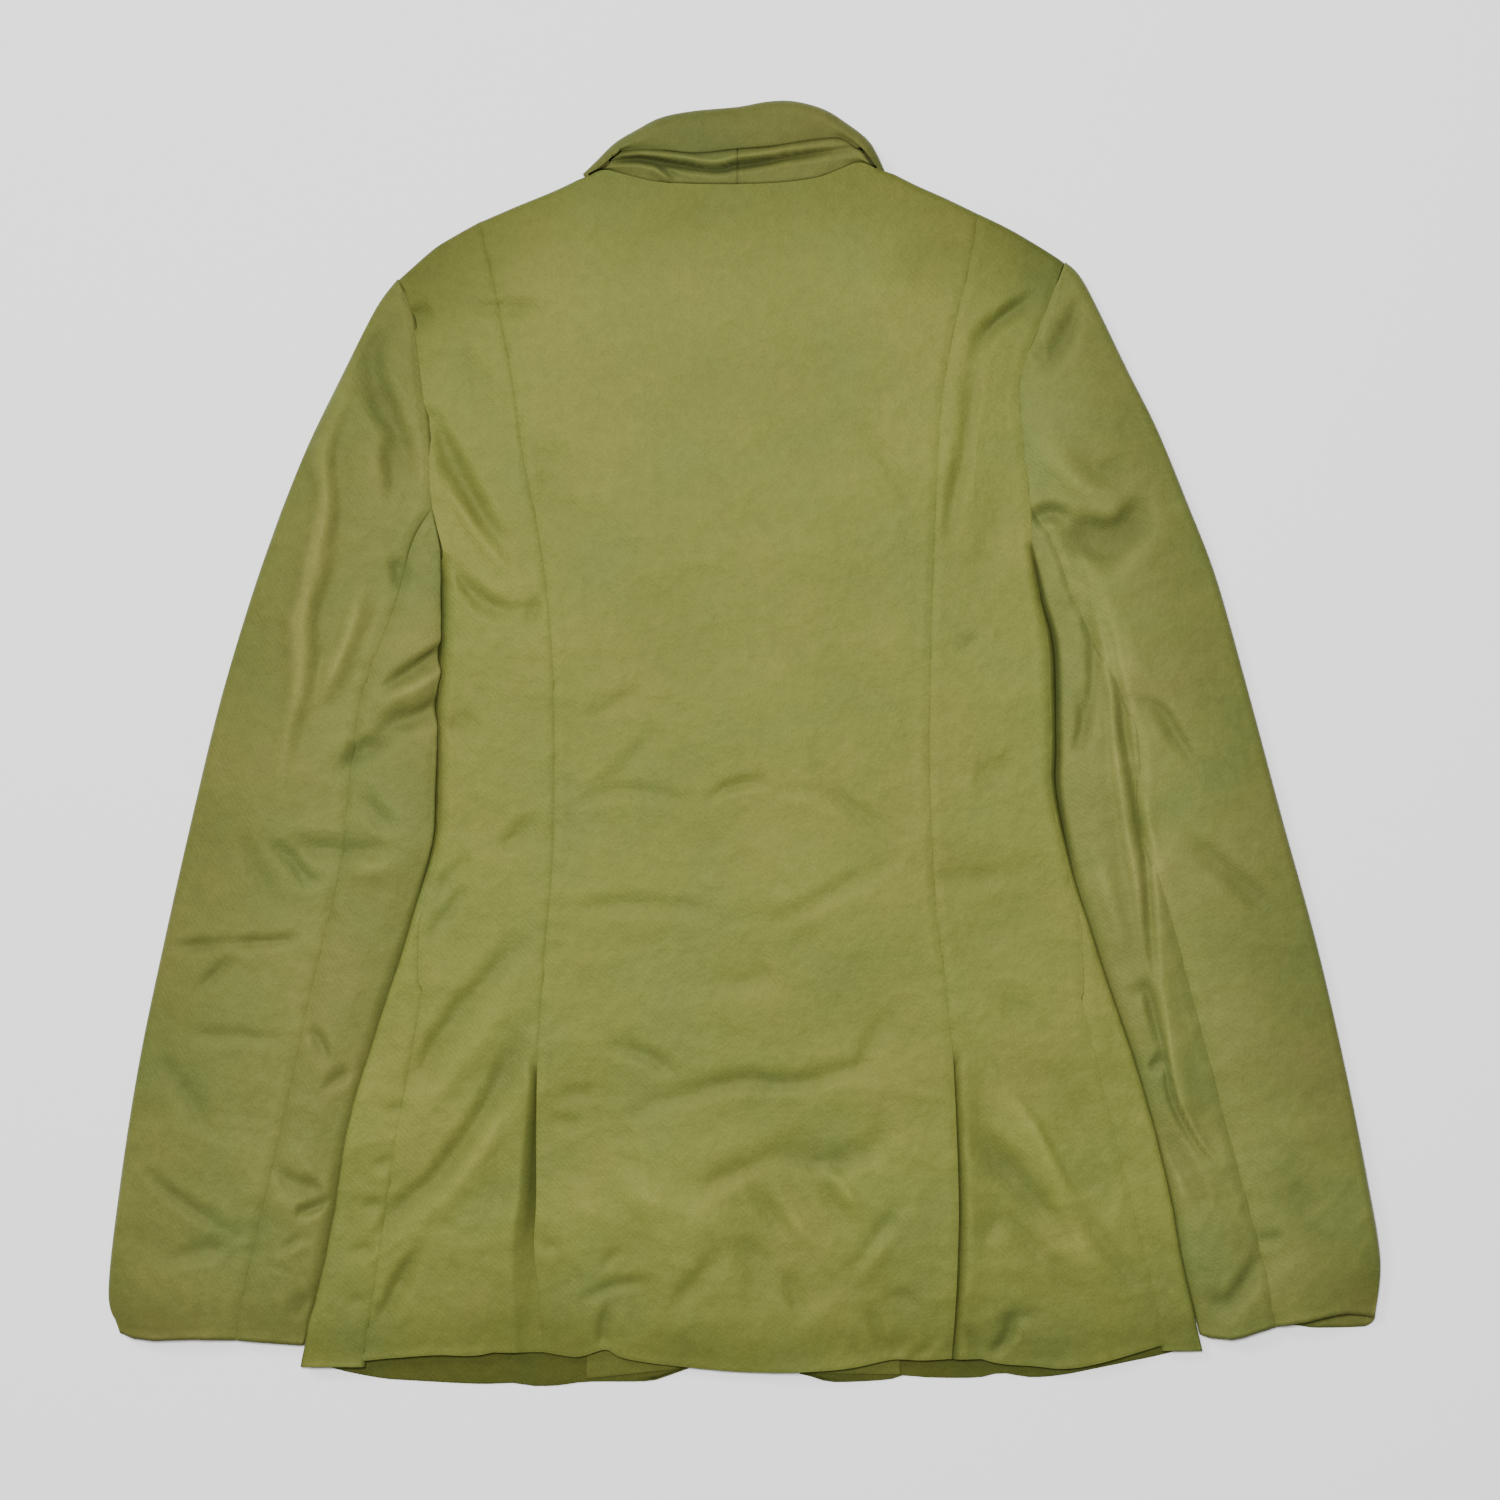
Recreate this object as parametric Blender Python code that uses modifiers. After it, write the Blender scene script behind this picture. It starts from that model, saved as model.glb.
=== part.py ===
"""A woman's tailored jacket of soft olive cloth, laid out flat on its front with its back up.

Lengths in the tables are millimetres. The garment lies in X and Y, with its collar towards +Y and
the floor at Z = 0. "Left" and "right" are the wearer's, which are -X and +X from above. Every piece
is one wall of cloth: an open sheet for its outer face, thickened inwards. Pieces that are sewn
together share the points of their seam, each moved half the seam gap away from it.
"""

import math

import bpy

MM = 0.001
WALL = 2.0  # one ply of the lined cloth
LAY_GAP = 0.3  # between two plies that lie on each other
SEAM_GAP = 0.4  # between the edges of two pieces that are sewn together
CROTCH_GAP = 1.1  # more room where a seam turns over the fold at the underarm
SLEEVE_CLEARANCE = 0.8  # more room between a sleeve and the side that it lies beside
SHOULDER_GAP = 1.0  # at the shoulder seam, which lies on the fold of the silhouette
BACK_TOP = 7.6  # outer face of the back above the floor
ROLL = BACK_TOP / 2  # radius of the fold along the sides and the sleeves
HALF_ROLL = math.pi * ROLL / 2  # from the outermost line of a fold round to its flat face
UNDER_LIFT = WALL + LAY_GAP  # a front that lies on a lapel, or on the other front
FLAP_TOP = BACK_TOP + LAY_GAP + WALL  # outer face of the collar's fall
VENT_DROP = WALL + LAY_GAP  # the underlap of a vent passes this far under the centre back
VENT_UNDERLAP = 20.0
VENT_FLAT = 7.0  # the side back is flat this far out from the vent's edge
VENT_TUCK_CLOSED = 2.5  # how far from the edge it dips above the vent, and along the vent
VENT_TUCK_OPEN = 0.6
ARMHOLE_INSETS = (0, 1.5, 3, 5)  # columns beside the armhole and the side
FRONT_EDGE_STEP = 1.6
FRONT_EDGE_COLUMNS = 7
FLAT_BEYOND_FOLD = 3.0  # the side back's columns reach this far past the side fold
TOP_SLEEVE_FADE = 18.0  # the folds of a sleeve fade out this far from its own fold
UNDER_SLEEVE_FADE = 12.0
SLEEVE_TIP_ROOM = 6.0  # the gap at the shoulder's tip, in seam gaps

CAP_ROWS = 8
CROTCH_ROWS = 2
SKIRT_ROWS = 14
PRINCESS_ROWS = 17
VENT_ROWS = CAP_ROWS + CROTCH_ROWS + SKIRT_ROWS + 2 - PRINCESS_ROWS
SLEEVE_ROWS = 16

OLIVE = (0.262, 0.233, 0.080, 1.0)
OLIVE_DEEP = (0.215, 0.205, 0.075, 1.0)

# Seams and outlines, as points (x, y) from the shoulder down or from left to right.
TIP = {"left": (-207.6, 278.4), "right": (192.6, 288.6)}
SHOULDER_OUT = {"left": (-0.488, 0.873), "right": (0.448, 0.894)}
SHOULDER_OUTER = {
    "left": ((-207.6, 278.4), (-187.8, 295.8), (-175, 304), (-159.6, 312.6)),
    "right": ((141.6, 317.5), (160, 308.5), (181.8, 295.8), (192.6, 288.6)),
}
SHOULDER_INNER = {
    "left": ((-159.6, 312.6), (-137.4, 322.2), (-114, 331.8), (-100, 338.5)),
    "right": ((92, 338.5), (104, 334), (122, 327), (141.6, 317.5)),
}
NECK = (
    (-93, 339.5), (-83, 342), (-72, 340.5), (-53, 337), (-30, 335.6), (-4, 335.4),
    (22, 336.4), (44, 339.5), (58, 343), (70, 344), (79, 338.8),
)
NECK_CENTRE = 5
PRINCESS = {
    "left": (
        (-159.6, 312.6), (-151.8, 284), (-147, 260), (-139, 217), (-132.6, 172),
        (-122, 117), (-115.8, 62), (-114, 2), (-115, -70), (-120, -130), (-124.2, -190),
    ),
    "right": (
        (141.6, 317.5), (133, 277), (125.4, 245), (119, 207), (116, 163),
        (114, 110), (111.6, 26), (111.6, -28), (115, -94), (119.4, -130), (125.4, -184),
    ),
}
VENT = {
    "left": ((-124.2, -190), (-124.8, -232), (-124.8, -274), (-126, -304), (-122.4, -340), (-121, -366)),
    "right": ((125.4, -184), (127.2, -220), (129, -274), (128.4, -310), (127, -340), (124.8, -370)),
}
ARMHOLE_BACK = {
    "left": ((-203.4, 271.2), (-199.2, 255), (-195.6, 231.6), (-192.6, 207), (-190, 183), (-188, 141)),
    "right": ((188, 277), (180, 256), (172.2, 237.6), (166.8, 219), (166, 200), (172, 141)),
}
ARMHOLE_FRONT = {
    "left": ((-201, 271), (-189, 250), (-181, 225), (-177, 200), (-179, 172), (-188, 143)),
    "right": ((186, 277), (173, 253), (163, 228), (159, 200), (164, 172), (176, 147)),
}
CROTCH = {"left": (-183.3, 110), "right": (173.5, 117)}
FRONT_EDGE_UPPER = {
    "left": ((-106, 334.5), (-104.5, 314), (-82, 290), (-47, 205), (-18.6, 110)),
    "right": ((98, 333.5), (95, 314), (76, 290), (46, 208), (18.6, 117)),
}
FRONT_EDGE_LOWER = {
    "left": (
        (-18.6, 110), (-1.4, 50), (10, 8), (10, -60), (10, -150),
        (5, -228), (-11, -310), (-23, -352), (-34, -376),
    ),
    "right": (
        (18.6, 117), (1.4, 50), (-10, 8), (-10, -60), (-10, -150),
        (-5, -228), (11, -310), (24, -355), (34, -379),
    ),
}
HEM_CENTRE = (
    (-121, -366), (-103, -369), (-83, -366), (-56, -372.5), (-26, -376), (4, -378),
    (34, -378), (64, -375.5), (89, -370.5), (106, -371), (124.8, -370),
)
HEM_SIDE = {
    "left": ((-236, -371), (-210, -371.4), (-184, -372.6), (-161, -375.5), (-138, -373), (-127, -370)),
    "right": ((131, -367), (151, -373.8), (174, -376.2), (193, -378), (216, -374.5), (260, -362.4)),
}
HEM_FRONT = {
    "left": (
        (-258, -373.5), (-198, -383), (-159, -385), (-128, -386),
        (-94, -384), (-59, -384), (-42, -379), (-34, -376),
    ),
    "right": (
        (266, -364), (211, -375.6), (172, -381), (140, -381.6),
        (112, -381.6), (86, -383), (54, -384), (34, -379),
    ),
}

# wrap is how far the front comes round the fold of the side, along the cloth.
SIDE_COLUMNS = ("level", "edge", "wrap")
SIDE = {
    "left": (
        (110, -183.3, 0), (62, -183.4, 5), (26, -186, 6.5), (-28, -186.6, 6.5), (-64, -189, 6.5),
        (-96, -197, 7), (-138, -208.5, 14), (-186, -224, 21),
        (-240, -238, 25), (-310, -251, 28), (-372, -266, 33),
    ),
    "right": (
        (117, 173.5, 0), (86, 179.5, 4), (56, 186.6, 6.5), (-1, 188, 6.5), (-28, 188, 6.5),
        (-64, 194.4, 6.5), (-94, 202, 7), (-154, 221.5, 15), (-208, 239.5, 17),
        (-262, 253, 20), (-312, 263, 16), (-364, 275, 16),
    ),
}

SLEEVE_CAP = {
    "left": ((-208, 278.8), (-220.8, 261.6), (-240, 223.8), (-261.6, 179.4), (-277.8, 139.8)),
    "right": ((193, 289), (204.6, 276), (230.4, 223.8), (248.4, 187.8), (267.6, 141)),
}
SLEEVE_OUTER = {
    "left": (
        (-277.8, 139.8), (-295, 90.6), (-314.4, 25.8), (-331.8, -46), (-348, -118),
        (-363, -190), (-374.4, -262), (-381.8, -330), (-375, -350),
    ),
    "right": (
        (267.6, 141), (284, 97.8), (304.2, 25.8), (323.4, -46), (343.2, -118),
        (360, -190), (374.4, -262), (382.2, -311), (379, -347),
    ),
}
SLEEVE_BACK_SEAM = {
    "left": (
        (-188, 141), (-200.4, 121), (-210.6, 80), (-229.8, 27), (-238.6, -40),
        (-242.4, -76), (-260, -150), (-277.2, -230), (-298.8, -322), (-305.4, -356.6),
    ),
    "right": (
        (172, 141), (184.8, 121), (200.4, 80), (225.6, 32), (237, 0), (238.6, -48),
        (255, -100), (275.4, -176), (296.4, -255), (310.8, -307), (319.8, -349.5),
    ),
}
SLEEVE_INNER = {
    "left": (
        (-186.4, 110.5), (-185.8, 62), (-187.8, 26), (-188.6, -28), (-191, -64), (-199, -96),
        (-210.5, -138), (-226, -186), (-240, -240), (-253, -310), (-267, -359.6),
    ),
    "right": (
        (175.4, 118), (182.2, 86), (189.8, 56), (190.8, -1), (190.6, -28), (196.8, -64),
        (204.4, -94), (223.8, -154), (241.5, -208), (255, -262), (265, -312), (276.5, -354),
    ),
}
SLEEVE_FRONT_SEAM = {
    "left": (
        (-188, 143), (-197, 106), (-204, 60), (-208, 20), (-209, -28), (-212, -64), (-221, -100),
        (-232, -138), (-247, -186), (-260, -240), (-274, -310), (-287, -358.4),
    ),
    "right": (
        (176, 147), (188, 110), (200, 72), (209, 30), (210, -28), (216, -64), (226, -100),
        (244, -154), (261, -208), (275, -262), (285, -312), (297, -356),
    ),
}

# Columns: free_x, free_y of the fall's edge, fold_x, fold_y where it turns, end_x, end_y underneath.
COLLAR = (
    (-91, 337.5, -96, 343, -118, 256),
    (-83.5, 346.5, -88.5, 350, -110, 253),
    (-76, 354.5, -77.4, 360.5, -98, 252),
    (-62, 356.7, -65, 368, -83, 255),
    (-46, 356.2, -50, 375.6, -70, 290),
    (-28, 354.8, -30, 379.6, -44, 326),
    (-4, 357.3, -4, 382, -10, 334.5),
    (14, 358.6, 14, 385.2, 12, 334.5),
    (30, 361, 30, 385.4, 30, 334.5),
    (44, 363, 48, 380.6, 52, 326),
    (58, 363.5, 62, 372, 64, 292),
    (68, 357.5, 73.6, 363, 76, 254),
    (72, 355, 79.5, 354.5, 95, 253),
    (78, 337.5, 84, 343, 116, 256),
)
COLLAR_INNER_FOLD = 7.5  # the stand stops this far inside the collar's fold

# Columns: roll_x, roll_y where the lapel turns, free_x, free_y of its outer edge.
LAPEL = (
    (67.5, 251, 139, 236),
    (57, 225, 131, 205),
    (44, 190, 112, 160),
    (31.5, 150, 84, 118),
    (20, 112, 48, 88),
    (11.5, 84, 20, 78),
)
FACING_WALL = 1.4
# Columns: seam_x, seam_y of the facing's inner seam, edge_x, edge_y at the front's edge.
FACING = {
    "left": ((-93, -318, -15.5, -318), (-94, -350, -25, -350), (-94.5, -379, -40, -375)),
    "right": ((92, -318, 15.5, -318), (93, -350, 25, -350), (93.5, -377, 40, -375)),
}

# The largest folds of the upper face: each is a soft line with its height at its middle.
# Columns: x0, y0 to x1, y1, height, half_width.
FOLDS = (
    (160, -215, 238, -350, 2.2, 16),
    (135, -250, 176, -300, -0.9, 16),
    (-155, -170, -226, -300, 1.6, 17),
    (-110, -120, -176, -165, 1.4, 17),
    (-60, -215, 74, -190, -0.8, 20),
    (-20, -245, 45, -236, 1.3, 20),
    (-36, -345, 0, -262, 1.4, 18),
    (60, -255, 80, -360, 1.5, 18),
    (-190, 190, -148, 118, 1.5, 17),
    (140, 240, 132, 160, 1.4, 14),
    (-235, 235, -262, 110, 1.9, 16),
    (-234, 95, -282, -70, 2.0, 18),
    (-285, -60, -210, -90, 1.6, 17),
    (-352, -172, -280, -180, 1.2, 16),
    (192, 150, 232, 20, 2.2, 16),
    (238, -40, 292, -260, 1.8, 16),
    (255, 10, 300, -60, 1.4, 16),
    (206, 195, 262, 150, -1.0, 16),
)


def cubic(a, b, c, d, share):
    """A value on the smooth curve from b to c, where a and d come before and after them."""
    return 0.5 * (
        2 * b
        + (c - a) * share
        + (2 * a - 5 * b + 4 * c - d) * share**2
        + (3 * b - 3 * c + d - a) * share**3
    )


def smooth(points, steps=12):
    """The points of a smooth curve through the given ones."""
    found = []
    last = len(points) - 1
    for n in range(last):
        before, start = points[max(n - 1, 0)], points[n]
        end, after = points[n + 1], points[min(n + 2, last)]
        for step in range(steps):
            share = step / steps
            found.append(tuple(cubic(*values, share) for values in zip(before, start, end, after)))
    found.append(tuple(points[-1]))
    return found


def spaced(points, count):
    """count + 1 points at even steps along the smooth curve through the given ones."""
    line = smooth(points)
    lengths = [0.0]
    for start, end in zip(line, line[1:]):
        lengths.append(lengths[-1] + math.dist(start, end))
    found = []
    piece = 0
    for n in range(count + 1):
        wanted = lengths[-1] * n / count
        while piece < len(line) - 2 and lengths[piece + 1] < wanted:
            piece += 1
        share = (wanted - lengths[piece]) / (lengths[piece + 1] - lengths[piece])
        found.append(between(line[piece], line[piece + 1], share))
    return found


def between(start, end, share):
    return tuple(a + (b - a) * share for a, b in zip(start, end))


def moved(points, dx, dy=0.0):
    return [(x + dx, y + dy) for x, y in points]


def ease(value, start, end):
    """0 before start, 1 after end, and smooth between them."""
    share = min(max((value - start) / (end - start), 0.0), 1.0)
    return share * share * (3 - 2 * share)


def read(table, names, column, level):
    """The named column of a table, read smoothly at a level that falls from row to row."""
    rows = sorted(table, reverse=True)
    at = names.index(column)
    for n in range(len(rows) - 1):
        if level >= rows[n + 1][0] or n == len(rows) - 2:
            share = min(max((rows[n][0] - level) / (rows[n][0] - rows[n + 1][0]), 0.0), 1.0)
            near = [rows[min(max(n + step, 0), len(rows) - 1)][at] for step in (-1, 0, 1, 2)]
            return cubic(*near, share)


def relief(x, y):
    """How far the folds raise or lower the upper face at a place."""
    height = 0.0
    for x0, y0, x1, y1, rise, half_width in FOLDS:
        along_x, along_y = x1 - x0, y1 - y0
        length = math.hypot(along_x, along_y)
        share = ((x - x0) * along_x + (y - y0) * along_y) / length**2
        aside = abs((x - x0) * along_y - (y - y0) * along_x) / length
        taper = ease(share, -0.15, 0.35) * ease(-share, -1.15, -0.65)
        height += rise * taper * math.exp(-((aside / half_width) ** 2) * 2)
    return max(height, -1.0)


def clear_of_shoulder(x, y):
    """The depth of a place below the line of the shoulders."""
    return 343.0 - 0.53 * max(abs(x + 5) - 90.0, 0.0) - y


def back_relief(x, y):
    """The folds of the back, which fade out below the shoulder seam."""
    return relief(x, y) * ease(clear_of_shoulder(x, y), 8, 30)


def front_lift(side, x, y):
    """How far a front is lifted by the lapel, the collar or the other front under it."""
    lapel = ease(y, 52, 72) * ease(-abs(x), -166, -146) * ease(clear_of_shoulder(x, y), 5, 14)
    overlap = 0.0
    if side == "left":
        overlap = ease(x, -36, -16) * ease(y, -300, -262) * ease(-y, -120, -100)
    return UNDER_LIFT * max(lapel, overlap)


def fold_point(turn):
    """(inset, height) on the section of a side fold, at a distance round it from its outermost line."""
    if turn < -HALF_ROLL:
        return ROLL - turn - HALF_ROLL, BACK_TOP
    if turn > HALF_ROLL:
        return ROLL + turn - HALF_ROLL, 0.0
    angle = turn / ROLL
    return ROLL * (1 - math.cos(angle)), ROLL * (1 - math.sin(angle))


def side_point(side, level, turn):
    inset, height = fold_point(turn)
    edge = read(SIDE[side], SIDE_COLUMNS, "edge", level)
    inwards = 1 if side == "left" else -1
    return (edge + inwards * inset, level, height)


def patch(top, bottom, left, right):
    """Rows of points (x, y) that fill the space between four edges that share their corners."""
    columns, rows = len(top) - 1, len(left) - 1
    grid = []
    for j in range(rows + 1):
        t = j / rows
        row = []
        for i in range(columns + 1):
            s = i / columns
            point = []
            for axis in (0, 1):
                across = (1 - s) * left[j][axis] + s * right[j][axis]
                down = (1 - t) * top[i][axis] + t * bottom[i][axis]
                start = (1 - s) * top[0][axis] + s * top[-1][axis]
                end = (1 - s) * bottom[0][axis] + s * bottom[-1][axis]
                point.append(across + down - (1 - t) * start - t * end)
            row.append(tuple(point))
        grid.append(row)
    return grid


def make_material(name, colour, roughness):
    material = bpy.data.materials.new(name)
    material.use_nodes = True
    shader = material.node_tree.nodes["Principled BSDF"]
    shader.inputs["Base Color"].default_value = colour
    shader.inputs["Roughness"].default_value = roughness
    shader.inputs["Metallic"].default_value = 0.0
    return material


def cloth_piece(name, grid, colour, collection, flip=False, wall=WALL):
    """One piece of cloth from rows of outer points (x, y, z): the wall grows inwards from them."""
    columns = len(grid[0])
    points = [tuple(value * MM for value in point) for row in grid for point in row]
    faces = []
    for j in range(len(grid) - 1):
        for i in range(columns - 1):
            here, below = j * columns + i, (j + 1) * columns + i
            corners = [here, here + 1, below + 1, below]
            faces.append(corners if flip else corners[::-1])
    mesh = bpy.data.meshes.new(name)
    mesh.from_pydata(points, [], faces)
    mesh.shade_smooth()
    piece = bpy.data.objects.new(name, mesh)
    collection.objects.link(piece)
    solidify = piece.modifiers.new("Wall", "SOLIDIFY")
    solidify.thickness = wall * MM
    solidify.offset = -1
    piece.data.materials.append(make_material(name + " cloth", colour, 0.72))
    return piece


def shoulder_rows(first, outwards, turned, middle):
    """Rows that carry a panel's first row out to the shoulder line and turn it over the fold there."""
    rows = []
    for angle, upright in ((90, 0.0), (90, 0.7), (60, 0.7), (30, 0.7)):
        reach = ROLL * math.sin(math.radians(angle))
        fall = math.cos(math.radians(angle))
        row = []
        for (x, y, z), (dx, dy), turn in zip(first, outwards, turned):
            low = middle + math.copysign(upright, z - middle)
            height = low + (z - low) * fall
            flat = 0.0 if turn or upright else 0.3
            row.append((x + dx * (reach + flat), y + dy * (reach + flat), z + (height - z) * turn))
        rows.append(row)
    return rows


def panel_line(side):
    """The seam between centre back and side back, then the vent's edge."""
    return spaced(PRINCESS[side], PRINCESS_ROWS) + spaced(VENT[side], VENT_ROWS)[1:]


def inset_line(points, side):
    """The line with its first point moved in from the shoulder by the fold's radius."""
    dx, dy = SHOULDER_OUT[side]
    x, y = points[0]
    return [(x - dx * ROLL, y - dy * ROLL)] + list(points[1:])


def build_back_centre(collection):
    neck = spaced(NECK[: NECK_CENTRE + 1], 4) + spaced(NECK[NECK_CENTRE:], 4)[1:]
    left = moved(inset_line(panel_line("left"), "left"), SEAM_GAP / 2)
    right = moved(inset_line(panel_line("right"), "right"), -SEAM_GAP / 2)
    outwards = [SHOULDER_OUT["left"]] * 4 + [(0.0, 1.0)] * len(neck) + [SHOULDER_OUT["right"]] * 4
    turned = [1] * 4 + [0] * len(neck) + [1] * 4
    line = spaced(SHOULDER_INNER["left"], 3) + neck + spaced(SHOULDER_INNER["right"], 3)
    top = [(x - dx * ROLL, y - dy * ROLL - SEAM_GAP / 2) for (x, y), (dx, dy) in zip(line, outwards)]
    top[0], top[-1] = left[0], right[0]
    bottom = spaced(HEM_CENTRE, len(top) - 1)
    bottom[0], bottom[-1] = left[-1], right[-1]
    grid = [
        [(x, y, BACK_TOP + back_relief(x, y)) for x, y in row]
        for row in patch(top, bottom, left, right)
    ]
    grid = shoulder_rows(grid[0], outwards, turned, ROLL + SHOULDER_GAP / 2) + grid
    return cloth_piece("back_centre", grid, OLIVE, collection)


def back_armhole(side):
    """Points of the back armhole from the shoulder tip to the underarm."""
    cap = spaced(ARMHOLE_BACK[side], CAP_ROWS)
    low = [between(cap[-1], CROTCH[side], n / CROTCH_ROWS) for n in range(1, CROTCH_ROWS)]
    above = between(CROTCH[side], cap[-1], ROLL / math.dist(CROTCH[side], cap[-1]))
    return cap + low + [above]


def skirt_levels(side):
    start = CROTCH[side][1]
    end = HEM_SIDE[side][0][1] if side == "left" else HEM_SIDE[side][-1][1]
    return [start + (end - start) * n / SKIRT_ROWS for n in range(SKIRT_ROWS + 1)]


def build_side_back(side, collection):
    out = -1 if side == "left" else 1
    seam = panel_line(side)
    edge_rows = []
    for x, y in inset_line([TIP[side]], side) + back_armhole(side):
        x -= out * SEAM_GAP / 2
        edge_rows.append([(x - out * inset, y, BACK_TOP) for inset in ARMHOLE_INSETS])
    for level in skirt_levels(side):
        wrap = read(SIDE[side], SIDE_COLUMNS, "wrap", level)
        wrap += SEAM_GAP + CROTCH_GAP * max(1 - wrap / HALF_ROLL, 0.0)
        reach = max(HALF_ROLL - wrap, 0.0) + FLAT_BEYOND_FOLD
        turns = [-wrap - reach * share for share in (0, 0.33, 0.66, 1)]
        edge_rows.append([side_point(side, level, turn) for turn in turns])
    line = inset_line(seam, side)
    start = len(seam) - 1 - VENT_ROWS
    vent_rows = []
    for n, (x, y) in enumerate(line):
        sunk = VENT_DROP * ease(n, start - 1, start)
        lapped = ease(n, start, start + 1)
        tuck = x + out * (VENT_TUCK_CLOSED * (1 - lapped) + VENT_TUCK_OPEN * lapped + SEAM_GAP / 2)
        end = x + out * SEAM_GAP / 2 - out * VENT_UNDERLAP * lapped
        vent_rows.append([(x + out * VENT_FLAT, y, 0.0), (tuck, y, -sunk), (end, y, -sunk)])
    outer = [row[-1][:2] for row in edge_rows]
    inner = [row[0][:2] for row in vent_rows]
    count = 4
    crown = spaced(SHOULDER_OUTER[side], 12)
    dx, dy = SHOULDER_OUT[side]
    crown = moved(crown, -dx * ROLL, -dy * ROLL)
    hem = spaced(HEM_SIDE[side], 12)
    if side == "right":
        crown, hem = crown[::-1], hem[::-1]
    top = [outer[0]] + [crown[3 * n] for n in range(1, count)] + [inner[0]]
    bottom = [outer[-1]] + [hem[3 * n] for n in range(1, count)] + [inner[-1]]
    grid = []
    for row, sides, vents in zip(patch(top, bottom, outer, inner), edge_rows, vent_rows):
        flat = [(x, y, BACK_TOP) for x, y in row[1:-1]]
        lapped = [(x, y, BACK_TOP + drop) for x, y, drop in vents]
        whole = list(sides) + flat + lapped
        grid.append([
            (x, y, z + back_relief(x, y) * ease(z, BACK_TOP - 0.1, BACK_TOP)) for x, y, z in whole
        ])
    width = len(grid[0])
    over = shoulder_rows(grid[0], [SHOULDER_OUT[side]] * width, [1] * width, ROLL + SHOULDER_GAP / 2)
    return cloth_piece("side_back_" + side, over + grid, OLIVE, collection, flip=side == "right")


def front_armhole(side):
    cap = spaced(ARMHOLE_FRONT[side], CAP_ROWS)
    low = [between(cap[-1], CROTCH[side], n / CROTCH_ROWS) for n in range(1, CROTCH_ROWS)]
    above = between(CROTCH[side], cap[-1], ROLL / math.dist(CROTCH[side], cap[-1]))
    return cap + low + [above]


def build_front(side, collection):
    out = -1 if side == "left" else 1
    edge_rows = []
    for n, (x, y) in enumerate(inset_line([TIP[side]], side) + front_armhole(side)):
        x -= out * (SEAM_GAP / 2 + CROTCH_GAP * ease(n, CAP_ROWS, CAP_ROWS + CROTCH_ROWS))
        edge_rows.append([(x - out * FRONT_EDGE_STEP * n, y, 0.0) for n in range(FRONT_EDGE_COLUMNS)])
    for level in skirt_levels(side):
        wrap = read(SIDE[side], SIDE_COLUMNS, "wrap", level)
        wrap -= SEAM_GAP + CROTCH_GAP * max(1 - wrap / HALF_ROLL, 0.0)
        bend = min(wrap, HALF_ROLL)
        turns = [-wrap, -wrap + max((wrap - bend) / 2, 0.6)]
        turns.append(turns[-1] + max((wrap - bend) / 2, 0.6))
        turns += [turns[2] + (HALF_ROLL + 0.5 - turns[2]) * n / 4 for n in range(1, 5)]
        edge_rows.append([side_point(side, level, turn) for turn in turns])
    outer = [row[-1][:2] for row in edge_rows]
    upper = spaced(FRONT_EDGE_UPPER[side], len(edge_rows) - 1 - SKIRT_ROWS)
    inner = upper + spaced(FRONT_EDGE_LOWER[side], SKIRT_ROWS)[1:]
    count = 8
    dx, dy = SHOULDER_OUT[side]
    neck_end = (inner[0][0] + dx * ROLL, inner[0][1] + dy * ROLL)
    if side == "left":
        silhouette = spaced(SHOULDER_OUTER[side] + SHOULDER_INNER[side][1:-1] + (neck_end,), count)
    else:
        silhouette = spaced((neck_end,) + SHOULDER_INNER[side][1:-1] + SHOULDER_OUTER[side], count)[::-1]
    crown = moved(silhouette, -dx * ROLL, -dy * ROLL)
    crown[0], crown[-1] = outer[0], inner[0]
    hem = spaced(HEM_FRONT[side], count)
    hem[0], hem[-1] = outer[-1], inner[-1]
    grid = []
    for row, sides in zip(patch(crown, hem, outer, inner), edge_rows):
        whole = list(sides) + [(x, y, 0.0) for x, y in row[1:]]
        grid.append([(x, y, z + (front_lift(side, x, y) if z == 0.0 else 0.0)) for x, y, z in whole])
    width = len(grid[0])
    over = shoulder_rows(grid[0], [(dx, dy)] * width, [1] * width, ROLL - SHOULDER_GAP / 2)
    return cloth_piece("front_" + side, over + grid, OLIVE_DEEP, collection, flip=side == "left")


def sleeve_row(start, fold, end, over, under, fade=TOP_SLEEVE_FADE):
    """A section of a flattened sleeve: across the top to the fold, round it, and back underneath."""
    across = math.dist(start, fold)
    back = math.dist(end, fold)
    top_way = between((0, 0), (start[0] - fold[0], start[1] - fold[1]), 1 / across)
    low_way = between((0, 0), (end[0] - fold[0], end[1] - fold[1]), 1 / back)
    row = []
    for n in range(over):
        inset = across + (ROLL - across) * n / over
        x, y = fold[0] + top_way[0] * inset, fold[1] + top_way[1] * inset
        row.append((x, y, BACK_TOP + relief(x, y) * ease(inset, ROLL, fade)))
    for n in range(5):
        share = n / 4
        inset, height = fold_point(HALF_ROLL * (2 * share - 1))
        way = between(top_way, low_way, share)
        size = math.hypot(*way)
        row.append((fold[0] + way[0] / size * inset, fold[1] + way[1] / size * inset, height))
    for n in range(1, under + 1):
        inset = ROLL + (back - ROLL) * n / under
        row.append((fold[0] + low_way[0] * inset, fold[1] + low_way[1] * inset, 0.0))
    return row


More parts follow.
